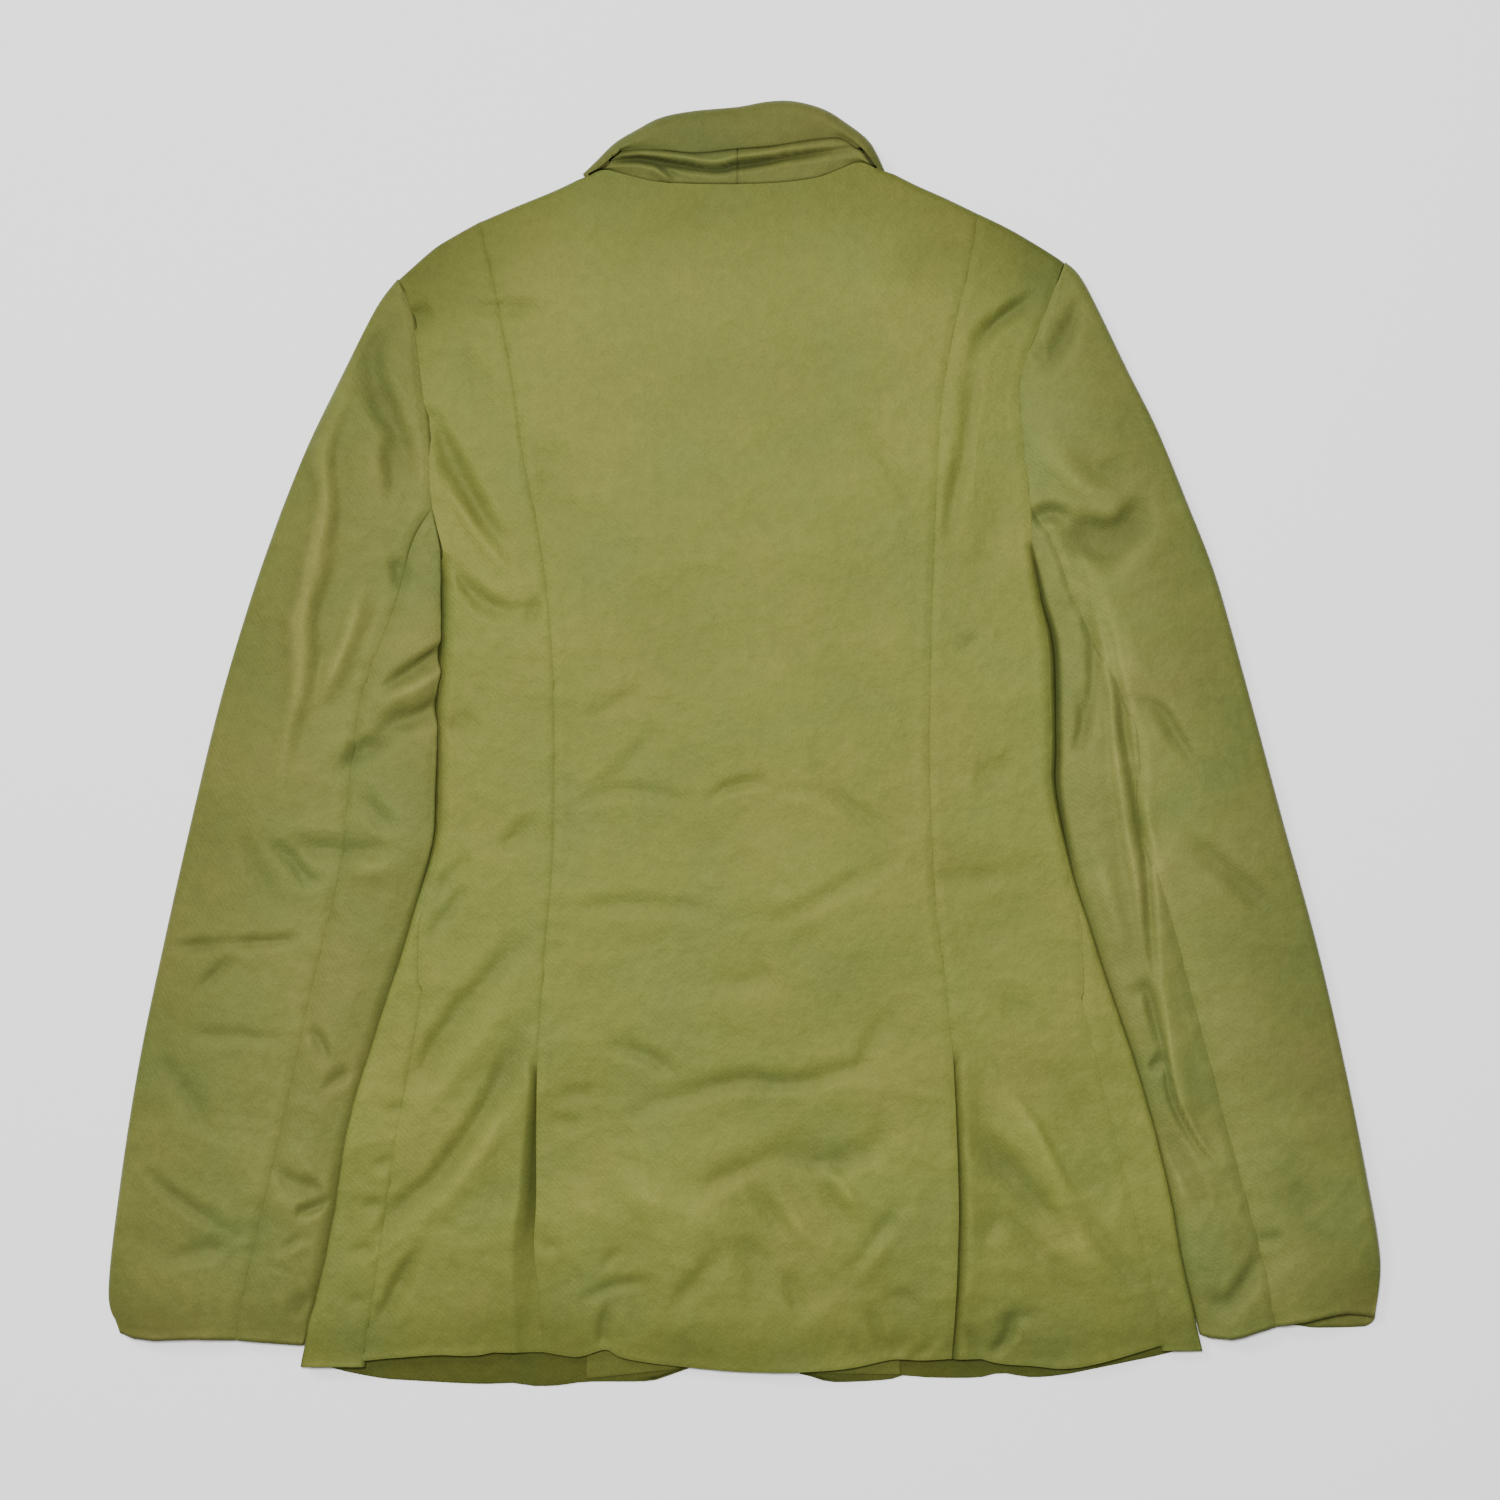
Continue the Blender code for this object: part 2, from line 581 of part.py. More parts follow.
def build_sleeve(side, collection):
    out = -1 if side == "left" else 1
    half = out * SEAM_GAP / 2
    cap = []
    lines = [spaced(line[side], CAP_ROWS) for line in (ARMHOLE_BACK, SLEEVE_CAP, ARMHOLE_FRONT)]
    for n, points in enumerate(zip(*lines)):
        tip_ease = 1 + SLEEVE_TIP_ROOM * ease(-n, -3, 0)
        cap.append(moved(points, half * tip_ease))
    back_seam = spaced(SLEEVE_BACK_SEAM[side], SLEEVE_ROWS)
    front_seam = spaced(SLEEVE_FRONT_SEAM[side], SLEEVE_ROWS)
    outline = spaced(SLEEVE_OUTER[side], SLEEVE_ROWS)
    inner = spaced(SLEEVE_INNER[side], SLEEVE_ROWS)
    inner = inner[:1] + moved(inner[1:], out * SLEEVE_CLEARANCE)
    rows = [sleeve_row(*points, 5, 6) for points in cap]
    lines = [moved(line, half)[1:] for line in (back_seam, outline, front_seam)]
    rows += [sleeve_row(*points, 5, 6) for points in zip(*lines)]
    cloth_piece("top_sleeve_" + side, rows, OLIVE, collection, flip=side == "left")
    back_seam = [(back_seam[0][0] + half, back_seam[0][1] - SEAM_GAP)] + moved(back_seam[1:], -half)
    front_seam = [(front_seam[0][0] + half, front_seam[0][1] - SEAM_GAP)] + moved(front_seam[1:], -half)
    rows = [sleeve_row(*points, 3, 3, UNDER_SLEEVE_FADE) for points in zip(back_seam, inner, front_seam)]
    cloth_piece("under_sleeve_" + side, rows, OLIVE_DEEP, collection, flip=side == "right")


def build_collar(collection):
    """The upper collar: its fall lies on the stand, turns at the roll line and ends on the fronts."""
    roll = FLAP_TOP / 2
    stations = spaced(COLLAR, 2 * (len(COLLAR) - 1))
    rows = []
    for n, (free_x, free_y, fold_x, fold_y, end_x, end_y) in enumerate(stations):
        before, after = stations[max(n - 1, 0)], stations[min(n + 1, len(stations) - 1)]
        along = (after[2] - before[2], after[3] - before[3])
        size = math.hypot(*along)
        inwards = (along[1] / size, -along[0] / size)
        row = [(free_x, free_y, FLAP_TOP)]
        near = (fold_x + inwards[0] * roll, fold_y + inwards[1] * roll)
        row.append((*between((free_x, free_y), near, 0.5), FLAP_TOP))
        for step in range(7):
            angle = math.radians(30 * step)
            inset = roll * (1 - math.sin(angle))
            height = roll * (1 + math.cos(angle))
            row.append((fold_x + inwards[0] * inset, fold_y + inwards[1] * inset, height))
        for share in (0.25, 0.5, 0.75, 1):
            row.append((*between(near, (end_x, end_y), share), 0.0))
        rows.append(row)
    cloth_piece("collar_fall", rows, OLIVE, collection)


def build_stand(side, collection):
    """Half of the under collar, from the neck seam up inside the fall, with its seam at the centre."""
    neck = spaced(NECK[: NECK_CENTRE + 1], 4) if side == "left" else spaced(NECK[NECK_CENTRE:], 4)
    stations = spaced([row[2:4] for row in COLLAR], 24)
    middle = 12
    shape = stations[: middle + 1] if side == "left" else stations[middle:]
    upper = [shape[3 * n] for n in range(5)]
    rows = []
    for (low_x, low_y), (high_x, high_y) in zip(neck, upper):
        size = math.dist((low_x, low_y), (high_x, high_y))
        reach = max(1 - COLLAR_INNER_FOLD / size, 0.12)
        row = []
        for share in (0, 0.5, 1):
            x, y = between((low_x, low_y + SEAM_GAP / 2), (high_x, high_y), share * reach)
            row.append((x, y, BACK_TOP))
        rows.append(row)
    centre = NECK[NECK_CENTRE][0]
    gap = -SEAM_GAP / 2 if side == "left" else SEAM_GAP / 2
    which = -1 if side == "left" else 0
    rows[which] = [(centre + gap, y, z) for x, y, z in rows[which]]
    cloth_piece("collar_stand_" + side, rows, OLIVE_DEEP, collection)


def build_lapel(side, collection):
    out = -1 if side == "left" else 1
    rows = []
    for roll_x, roll_y, free_x, free_y in spaced(LAPEL, 8):
        start, end = (out * roll_x, roll_y), (out * free_x, free_y)
        rows.append([(*between(start, end, n / 4), 0.0) for n in range(5)])
    cloth_piece("lapel_" + side, rows, OLIVE_DEEP, collection, flip=side == "right")


def build_facing(side, collection):
    """The strip of facing that shows inside the front's hem, lying on the front."""
    out = -1 if side == "left" else 1
    top = WALL + LAY_GAP + FACING_WALL
    rows = []
    for seam_x, seam_y, edge_x, edge_y in spaced(FACING[side], 4):
        rows.append([(*between((seam_x, seam_y), (edge_x, edge_y), n / 3), top) for n in range(4)])
    cloth_piece("facing_" + side, rows, OLIVE, collection, flip=out > 0, wall=FACING_WALL)


def stand_on_bottom_centre(collection):
    """Moves every piece so that the garment's box has its bottom centre at the origin."""
    corners = [vertex.co for piece in collection.objects for vertex in piece.data.vertices]
    shift_x = (min(corner.x for corner in corners) + max(corner.x for corner in corners)) / 2
    shift_y = (min(corner.y for corner in corners) + max(corner.y for corner in corners)) / 2
    for piece in collection.objects:
        for vertex in piece.data.vertices:
            vertex.co.x -= shift_x
            vertex.co.y -= shift_y


def build_jacket():
    for old in list(bpy.data.objects):
        bpy.data.objects.remove(old, do_unlink=True)
    collection = bpy.data.collections.new("tailored_jacket")
    bpy.context.scene.collection.children.link(collection)
    build_back_centre(collection)
    for side in ("left", "right"):
        build_side_back(side, collection)
        build_front(side, collection)
        build_sleeve(side, collection)
        build_stand(side, collection)
        build_lapel(side, collection)
        build_facing(side, collection)
    build_collar(collection)
    stand_on_bottom_centre(collection)


build_jacket()
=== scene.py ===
"""The looks of the tailored jacket, laid out flat on its front with its back up.

Lengths in the tables are millimetres, X runs to the wearer's right, Y towards the collar and Z up from
the floor. Each piece of cloth is a fine grid of points on its outer face, given a thin wall inwards.
"""

import math

import bpy
import numpy as np
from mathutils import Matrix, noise


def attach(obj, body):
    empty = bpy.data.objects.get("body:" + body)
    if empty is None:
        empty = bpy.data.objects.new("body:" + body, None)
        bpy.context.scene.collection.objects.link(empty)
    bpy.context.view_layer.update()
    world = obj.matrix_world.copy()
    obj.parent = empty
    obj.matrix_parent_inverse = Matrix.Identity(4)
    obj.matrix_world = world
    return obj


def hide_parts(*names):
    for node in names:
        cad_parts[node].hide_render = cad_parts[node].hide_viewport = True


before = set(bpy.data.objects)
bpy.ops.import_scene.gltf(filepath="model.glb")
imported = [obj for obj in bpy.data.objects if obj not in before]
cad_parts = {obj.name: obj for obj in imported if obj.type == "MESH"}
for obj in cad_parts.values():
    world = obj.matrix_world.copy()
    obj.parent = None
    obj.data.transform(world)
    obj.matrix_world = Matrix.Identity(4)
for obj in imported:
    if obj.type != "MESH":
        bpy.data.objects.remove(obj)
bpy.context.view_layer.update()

# --- Centre back -----------------------------------------------------------------------------------
# One long panel of garment-dyed cotton satin between the two shaped back seams, cut in one from the
# neck seam to the hem. Its seams are sewn from inside and pressed open, and its hem and the edges of
# the two vents are turned under. The creases of the whole back are listed here.

MM = 0.001
TOP = 8.4  # outer face of the back above the floor
MIDDLE = TOP / 2
FLAT = TOP - 0.4  # from this height up the cloth lies on top
CLOTH = 0.8  # thickness of the cloth
SEAM_TURN = 0.17  # radius at which a sewn or hemmed edge turns under
SEAM_HALF = 0.03  # half of the slit between two pieces that are sewn together
SEAM_EDGE = SEAM_HALF + SEAM_TURN  # how far from its seam line the flat cloth of a piece ends
FOLD_HALF = 0.1  # half of the slit between back and front along the shoulders
ALLOWANCE = 2.4  # width of a seam allowance, under the next piece
ALLOWANCE_DROP = 1.0
SEAM_DIP = (1.8, -0.2, 0.0)  # width, height and distance from the seam, as in the next three
SEAM_RIDGE = (2.5, 0.22, 5.0)
HEM_GROOVE = (1.3, -0.35, 4.5)
HEM_ROLL = (1.4, 0.25, 2.0)
PUCKER_LENGTH = 8.5  # of the puckers along a seam, then how far from it they reach and how high they are
PUCKER_REACH = 8.0
PUCKER_HEIGHT = 0.5
SEAM_DYE = 1.6  # how far the dye's mark of a seam reaches
CREST_SHADING = 0.08  # how strongly the painted shade in the creases and the painted highlight on their ridges follow their height
HEM_SAG = 2.6  # the open hems sink this far onto the front below
HEM_SAG_LENGTH = 26.0
MARKS = ("crest", "seam", "painted_shade")  # what the colour reads from the cloth: the height of the creases, for their painted shade and highlight, the seams, and the painted shade
SHOULDER_LEVEL = 343.0  # of the shoulder line beside the neck, from where it slopes down
SHOULDER_SLOPE = 0.53
SHOULDER_MIDDLE = -5.0
NECK_REACH = 90.0
SHOULDER_ROWS = 6  # rows in which the side edges ease in towards the shoulder's fold
CREASE_START = (5, 30)  # the creases of the back grow in over this distance below the shoulders
SHOULDER_SHADE = 0.64  # the painted shade along the shoulders, and the distance below them in which it fades
SHOULDER_SHADE_FADE = (-32, 83)
HEM_SHADE = 0.8  # the painted shade at the hem, and the levels between which it fades
HEM_SHADE_FADE = (-385, -270)
TIP_SHADE = 0.8  # the painted shade at the tips of the shoulders, and how wide and high it reaches
TIP_SHADE_SIZE = (45, 60)

SHOULDER_OUT = {"left": (-0.488, 0.873), "right": (0.448, 0.894)}
TIP = {"left": (-207.6, 278.4), "right": (192.6, 288.6)}
SHOULDER_INNER = {
    "left": ((-159.6, 312.6), (-137.4, 322.2), (-114, 331.8), (-100, 338.5)),
    "right": ((91, 341.5), (104, 335), (122, 327), (141.6, 317.5)),
}
NECK = (
    (-93, 340.5), (-84, 344), (-72, 341.4), (-53, 337), (-30, 335.6), (-4, 335.4),
    (22, 336.4), (44, 339.5), (57, 344.3), (69, 348.5), (79, 345),
)
NECK_CENTRE = 5
NECK_HALF = {"left": NECK[: NECK_CENTRE + 1], "right": NECK[NECK_CENTRE:]}
PRINCESS = {
    "left": (
        (-159.6, 312.6), (-151.8, 284), (-147, 260), (-139, 217), (-132.6, 172),
        (-122, 117), (-115.8, 62), (-114, 2), (-115, -70), (-120, -130), (-124.2, -190),
    ),
    "right": (
        (141.6, 317.5), (133, 277), (125.4, 245), (119, 207), (116, 163),
        (114, 110), (111.6, 26), (111.6, -28), (115, -94), (119.4, -130), (125.4, -184),
    ),
}
VENT = {
    "left": ((-124.2, -190), (-124.8, -232), (-124.8, -274), (-126, -304), (-122.4, -340), (-121, -366)),
    "right": ((125.4, -184), (127.2, -220), (129, -274), (128.4, -310), (127, -340), (124.8, -370)),
}
HEM_CENTRE = (
    (-121, -366), (-103, -369), (-95, -368), (-83, -364.5), (-74, -369), (-56, -372.5), (-26, -376),
    (4, -378), (34, -378), (64, -375.5), (89, -370.5), (106, -371), (124.8, -370),
)
PRINCESS_ROWS = 190
VENT_ROWS = 66
SHOULDER_COLUMNS = 25
NECK_COLUMNS = 36

CREASE_GAIN = 2.4  # the heights in the tables of creases are multiplied by this
DEEPEST_CREASE = 4.2
HIGHEST_CREASE = 6.0
CREASE_REACH = 3.4  # how many of its own widths a crease reaches to either side
CREASE_PROFILE = (1.0, 1.1)  # width and height of a crease with both set to 1
CREASE_FLANK = (2.1, -0.22)  # the cloth dips a little beside a ridge, and rises beside a trough
CREASE_TAPER = 0.42  # share of a crease's length in which it fades away at each end
UNEVEN_LENGTH = 24.0  # how soon a crease's width and height vary along it
UNEVEN_WIDTH = 0.3
UNEVEN_HEIGHT = 0.35
# Waves of worn cloth: length across, length along, height, and what is added to their seed.
BROAD_WAVE = (78, 62, 1.45, 0)
MIDDLE_WAVE = (36, 21, 0.5, 7)
SMALL_WAVE = (15, 10, 0.12, 13)
THIN_RIDGE = (52, 30, 0.35, 21)
RIDGE_BEND = 0.5  # how much a ridge wanders with the middle waves
RIDGE_NARROWNESS = 2.2
CALM, LIVELY = 0.85, 1.6  # height of the waves in the upper part, and near the hem
LIVELY_BELOW = (120, 320)  # how far below the middle they grow from one to the other
BACK_WAVES = 3  # seed of the waves that the back and the fronts share

# Creases of the back: height, width on the left of its line, width on the right, then the line.
BACK_CREASES = (
    (-1.2, 6, 6, (
        (-79, -238), (-73, -234), (-60, -218), (-44, -213), (-24, -208), (1, -202), (21, -204),
        (41, -202), (57, -197), (70, -192), (80, -172), (105, -152),
    )),
    (-0.5, 5, 5, ((-83, -181), (-60, -186), (-37, -202))),
    (-0.8, 7, 6, (
        (-37, -276), (-27, -266), (-11, -256), (4, -251), (26, -248), (52, -253), (67, -248),
        (82, -238), (86, -203),
    )),
    (-0.7, 6, 5, ((-31, -271), (-5, -259), (17, -253))),
    (0.8, 4, 6, ((41, -248), (62, -269), (73, -291))),
    (-0.7, 6, 6, ((37, -253), (52, -273), (65, -296))),
    (0.7, 5, 6, ((11, -259), (29, -284), (53, -311))),
    (-0.7, 8, 6, ((1, -262), (14, -281), (29, -298))),
    (-0.7, 5, 5, ((54, -330), (72, -309), (87, -286), (95, -277), (106, -279))),
    (0.5, 6, 6, ((59, -328), (76, -310), (94, -287))),
    (-0.8, 6, 5, ((-46, -345), (-32, -327), (-17, -310), (-8, -298))),
    (-0.7, 6, 5, ((25, -311), (31, -335), (40, -350))),
    (-0.9, 3, 4, ((-103, -336), (-80, -326), (-51, -322))),
    (-0.8, 3, 4, ((-86, -368), (-85, -355), (-84, -345), (-77, -332))),
    (-0.9, 3, 5, ((73, -335), (81, -352), (87, -370))),
    (-0.6, 9, 9, ((84, -358), (97, -367))),
    (-0.5, 3, 3, ((-88, -318), (-72, -301))),
    (0.5, 12, 12, ((-90, -250), (-62, -271), (-36, -298))),
    (0.5, 12, 12, ((-48, -305), (-26, -284), (1, -267))),
    (-0.5, 8, 8, ((-86, -262), (-68, -283), (-56, -311))),
    (-0.5, 10, 8, ((-2, -283), (5, -316), (1, -346))),
    (-0.5, 4, 4, ((-118, -207), (-95, -210), (-83, -202))),
    (-0.5, 4, 4, ((-119, -226), (-95, -229))),
    (-0.5, 3, 4, ((-124, -300), (-107, -302))),
    (-0.6, 3, 4, ((97, -373), (106, -366), (118, -358))),
    (0.6, 4, 4, ((109, -365), (121, -362))),
    (-0.4, 4, 4, ((76, -332), (112, -333))),
    (-0.6, 4, 4, ((-103, -37), (-74, -28), (-37, -34), (-23, -37))),
    (-1, 4, 3, ((-25, -38), (-12, -28), (6, -24), (19, -26))),
    (-0.5, 4, 4, ((16, -26), (56, -34), (86, -52), (109, -56))),
    (-0.5, 6, 6, ((-94, -34), (-63, -6), (-45, 17))),
    (-0.4, 5, 5, ((-103, 12), (-81, 21), (-53, 40))),
    (-0.6, 6, 6, ((-115, -105), (-88, -98), (-59, -97), (-30, -100), (-1, -106))),
    (-0.5, 6, 6, ((-30, -102), (-1, -106), (31, -102), (56, -88), (82, -75), (113, -73))),
    (-0.3, 5, 5, ((-8, -107), (6, -129), (22, -152))),
    (-0.5, 5, 5, ((-92, -182), (-85, -180), (-67, -184), (-45, -196), (-32, -208))),
    (-0.4, 6, 6, ((35, -2), (56, -28), (76, -43))),
    (-0.4, 7, 7, ((-26, -139), (-1, -144), (22, -135))),
    (-0.3, 12, 12, ((22, -127), (52, -115))),
    (-0.5, 14, 14, ((-110, 188), (-115, 158), (-120, 128))),
    (-0.4, 5, 5, ((59, 207), (82, 176), (112, 125))),
    (-0.6, 14, 14, ((79, 276), (112, 288), (148, 303))),
    (-0.5, 12, 12, ((-68, 293), (-26, 314), (16, 320))),
    (-1.5, 5, 7, ((-201, 203), (-192, 197), (-184, 190), (-170, 160), (-153, 129), (-134, 110))),
    (-1.2, 4, 6, ((-182, 116), (-175, 101), (-158, 87), (-144, 81), (-130, 81), (-122, 91))),
    (-1, 4, 4, ((-137, 65), (-128, 75), (-121, 91))),
    (0.9, 5, 6, ((-180, 164), (-169, 140), (-146, 110), (-128, 92))),
    (-0.6, 4, 4, ((-173, 261), (-146, 260), (-110, 262))),
    (-1.4, 6, 7, ((-207, 246), (-197, 254), (-186, 263))),
    (-0.5, 8, 8, ((-182, 248), (-164, 224), (-146, 182))),
    (-1.9, 4, 5, ((139, 223), (141, 235), (146, 247), (161, 260), (179, 271))),
    (-1.4, 4, 4, ((142, 243), (138, 220), (135, 194), (130, 164), (124, 138), (122, 110))),
    (-0.7, 4, 4, ((128, 52), (142, 66))),
    (-0.5, 10, 10, ((156, 164), (148, 122), (139, 86))),
    (-1.7, 6, 8, (
        (-229, -315), (-220, -295), (-205, -277), (-185, -260), (-164, -232), (-146, -201),
        (-134, -175), (-124, -145),
    )),
    (0.9, 9, 9, ((-218, -309), (-194, -285), (-170, -260), (-149, -229), (-134, -190))),
    (-1.2, 6, 7, (
        (-215, -225), (-206, -211), (-191, -191), (-172, -161), (-149, -136), (-122, -100),
    )),
    (0.8, 8, 8, ((-206, -235), (-182, -208), (-158, -178), (-137, -148))),
    (-1.2, 4, 6, ((-227, -359), (-212, -333), (-200, -311), (-186, -296))),
    (-0.7, 5, 5, ((-191, -122), (-179, -104), (-163, -80))),
    (-0.6, 5, 5, ((-149, -66), (-121, -41))),
    (-0.6, 6, 6, ((-188, -97), (-173, -76), (-158, -64))),
    (-0.5, 8, 8, ((-164, -304), (-149, -280), (-140, -250))),
    (-0.6, 10, 10, ((-187, 16), (-173, 10), (-155, 16))),
    (-0.7, 3, 4, ((-215, -222), (-202, -217))),
    (-0.7, 3, 4, ((-221, -253), (-209, -248))),
    (-0.7, 3, 4, ((-230, -279), (-215, -275))),
    (-0.7, 3, 4, ((-236, -307), (-220, -301))),
    (-0.6, 3, 4, ((-238, -337), (-226, -332))),
    (0.5, 4, 4, ((-223, -263), (-210, -259))),
    (0.5, 4, 4, ((-229, -292), (-215, -286))),
    (0.9, 12, 14, ((139, -203), (162, -230), (184, -260), (202, -287), (220, -315), (235, -337))),
    (-1.2, 6, 6, ((191, -272), (204, -284), (217, -301), (230, -319), (239, -337))),
    (-0.9, 7, 7, ((130, -295), (145, -286), (160, -288), (178, -307), (199, -331), (211, -342))),
    (-0.6, 12, 10, ((124, -115), (145, -139), (162, -158), (181, -172), (199, -180))),
    (-0.6, 8, 8, ((178, -190), (199, -211), (214, -238))),
    (-0.5, 8, 8, ((95, -68), (112, -76), (128, -81), (162, -78), (181, -70))),
    (-0.5, 10, 10, ((136, -26), (151, -16), (166, -14))),
    (-0.7, 4, 5, ((143, -358), (149, -352), (155, -346), (169, -344), (186, -343))),
    (-1.9, 2.5, 4, ((162, -338), (161, -349), (157, -359), (146, -369))),
    (-1.4, 8, 8, ((124, -217), (137, -233), (158, -256), (180, -279), (203, -304))),
    (1, 2.5, 7, ((154, -201), (172, -226), (188, -255), (204, -287))),
    (-0.9, 3, 4, ((130, -346), (137, -355), (146, -365))),
    (-0.6, 5, 5, ((139, -302), (149, -292), (157, -284))),
    (-0.5, 5, 5, ((133, -208), (145, -226), (148, -250))),
)


def smooth(points, steps=10):
    """Points of a smooth curve through the given ones."""
    knots = np.array(points, float)
    knots = np.vstack([knots[:1], knots, knots[-1:]])
    a, b, c, d = knots[:-3], knots[1:-2], knots[2:-1], knots[3:]
    share = (np.arange(steps) / steps)[:, None, None]
    line = 0.5 * (
        2 * b
        + (c - a) * share
        + (2 * a - 5 * b + 4 * c - d) * share**2
        + (3 * b - 3 * c + d - a) * share**3
    )
    return np.vstack([line.transpose(1, 0, 2).reshape(-1, knots.shape[1]), knots[-1:]])


def distances(line):
    """How far along a line each of its points lies."""
    return np.concatenate([[0], np.cumsum(np.linalg.norm(np.diff(line, axis=0), axis=1))])


def spaced(points, count):
    """count + 1 points at even steps along the smooth curve through the given ones."""
    line = smooth(points)
    lengths = distances(line)
    wanted = np.linspace(0, lengths[-1], count + 1)
    return np.stack([np.interp(wanted, lengths, line[:, axis]) for axis in range(line.shape[1])], 1)


def ease(value, start, end):
    """0 before start, 1 after end, and smooth between them."""
    share = np.clip((np.asarray(value, float) - start) / (end - start), 0, 1)
    return share * share * (3 - 2 * share)


def eased_from(low, value, start, end):
    """low before start, 1 after end, and smooth between them."""
    return low + (1 - low) * ease(value, start, end)


def mound(away, width, height=1.0, at=0.0):
    """A soft mound of this width and height around one distance."""
    return height * np.exp(-(((away - at) / width) ** 2))


def unit(vectors):
    """The vectors at length 1."""
    return vectors / np.maximum(np.linalg.norm(vectors, axis=-1, keepdims=True), 1e-6)


def patch(top, bottom, left, right):
    """A grid of points (x, y) that fills the space between four edges that share their corners."""
    across = np.linspace(0, 1, len(top))[None, :, None]
    down = np.linspace(0, 1, len(left))[:, None, None]
    level = (1 - across) * left[:, None] + across * right[:, None]
    upright = (1 - down) * top[None] + down * bottom[None]
    corners = (1 - down) * ((1 - across) * top[0] + across * top[-1])
    corners = corners + down * ((1 - across) * bottom[0] + across * bottom[-1])
    return level + upright - corners


def nearest_on(path, spots, left_width, right_width):
    """(distance, share along the path, width on that side of it) of the path's nearest point to spots."""
    lengths = distances(path)
    nearest = np.full(len(spots), np.inf)
    share = np.zeros(len(spots))
    width = np.ones(len(spots))
    for n, step in enumerate(np.diff(path, axis=0)):
        size = np.hypot(*step)
        if size == 0:
            continue
        along = np.clip((spots - path[n]) @ step / size**2, 0, 1)
        off = spots - path[n] - along[:, None] * step
        gap = np.hypot(off[:, 0], off[:, 1])
        closer = gap < nearest
        on_left = step[0] * off[:, 1] > step[1] * off[:, 0]
        nearest = np.where(closer, gap, nearest)
        width = np.where(closer, np.where(on_left, left_width, right_width), width)
        share = np.where(closer, (lengths[n] + along * size) / lengths[-1], share)
    return nearest, share, width


def crease_height(places, creases):
    """The height that the creases give to places (x, y): each is a soft line, tapered at both ends."""
    flat = places.reshape(-1, 2)
    height = np.zeros(len(flat))
    for rise, left_width, right_width, line in creases:
        path = smooth(line, 6)
        reach = CREASE_REACH * max(left_width, right_width)
        near = np.nonzero(((flat > path.min(0) - reach) & (flat < path.max(0) + reach)).all(1))[0]
        if not len(near):
            continue
        nearest, share, width = nearest_on(path, flat[near], left_width, right_width)
        taper = ease(share, 0, CREASE_TAPER) * ease(1 - share, 0, CREASE_TAPER)
        uneven = np.array(
            [noise.noise((x / UNEVEN_LENGTH, y / UNEVEN_LENGTH, rise)) for x, y in flat[near]]
        )
        away = nearest / (width * (1 + UNEVEN_WIDTH * uneven))
        profile = mound(away, *CREASE_PROFILE) + mound(away, *CREASE_FLANK)
        height[near] += rise * taper * (1 + UNEVEN_HEIGHT * uneven) * profile
    height = CREASE_GAIN * height.reshape(places.shape[:-1])
    limit = np.where(height < 0, DEEPEST_CREASE, HIGHEST_CREASE)
    return limit * np.tanh(height / limit)


def rumple(places, seed, turn=0.0):
    """The softly uneven lie of worn cloth: broad waves, smaller ones and a few thin ridges."""
    cosine, sine = math.cos(math.radians(turn)), math.sin(math.radians(turn))

    def wave(u, v, kind, bend=0.0):
        """Smooth noise with the lengths of one kind of wave."""
        return noise.noise((u / kind[0] + bend, v / kind[1], seed + kind[3]))

    heights = []
    for x, y in places.reshape(-1, 2):
        u, v = x * cosine + y * sine, y * cosine - x * sine
        broad, middle, small = (wave(u, v, kind) for kind in (BROAD_WAVE, MIDDLE_WAVE, SMALL_WAVE))
        ridge = 1 - RIDGE_NARROWNESS * abs(wave(u, v, THIN_RIDGE, RIDGE_BEND * middle))
        waves = BROAD_WAVE[2] * broad + MIDDLE_WAVE[2] * middle + SMALL_WAVE[2] * small
        heights.append(waves + THIN_RIDGE[2] * max(ridge, 0) ** 5)
    livelier = CALM + (LIVELY - CALM) * ease(-places[..., 1], *LIVELY_BELOW)
    return np.array(heights).reshape(places.shape[:-1]) * livelier


def from_edge(grid, edge):
    """How far each point lies from an edge of its grid, along the cloth."""
    axis = 1 if edge in ("left", "right") else 0
    steps = np.linalg.norm(np.diff(grid[..., :2], axis=axis), axis=-1)
    if edge in ("right", "bottom"):
        steps = np.flip(steps, axis)
    lengths = np.cumsum(steps, axis=axis)
    first = np.zeros_like(np.take(lengths, [0], axis))
    lengths = np.concatenate([first, lengths], axis)
    return np.flip(lengths, axis) if edge in ("right", "bottom") else lengths


def seam_relief(grid, edge, seed, rise=1.0):
    """The dip at a pressed seam on the left or right, the ridge of its allowance and its puckers."""
    away = from_edge(grid, edge)
    along = distances(grid[:, 0 if edge == "left" else -1, :2])
    pucker = np.array([noise.noise((place / PUCKER_LENGTH, seed, 0.5)) for place in along])[:, None]
    relief = mound(away, *SEAM_RIDGE) + mound(away, *SEAM_DIP)
    return rise * (relief + pucker * mound(away, PUCKER_REACH, PUCKER_HEIGHT))


def hem_relief(grid):
    """The groove where the turned hem ends inside, a little above the grid's lower edge."""
    away = from_edge(grid, "bottom")
    return mound(away, *HEM_GROOVE) + mound(away, *HEM_ROLL)


def hem_sag(grid, depth=HEM_SAG):
    """How far the cloth sinks towards its open lower edge."""
    return depth * ease(-from_edge(grid, "bottom"), -HEM_SAG_LENGTH, 0)


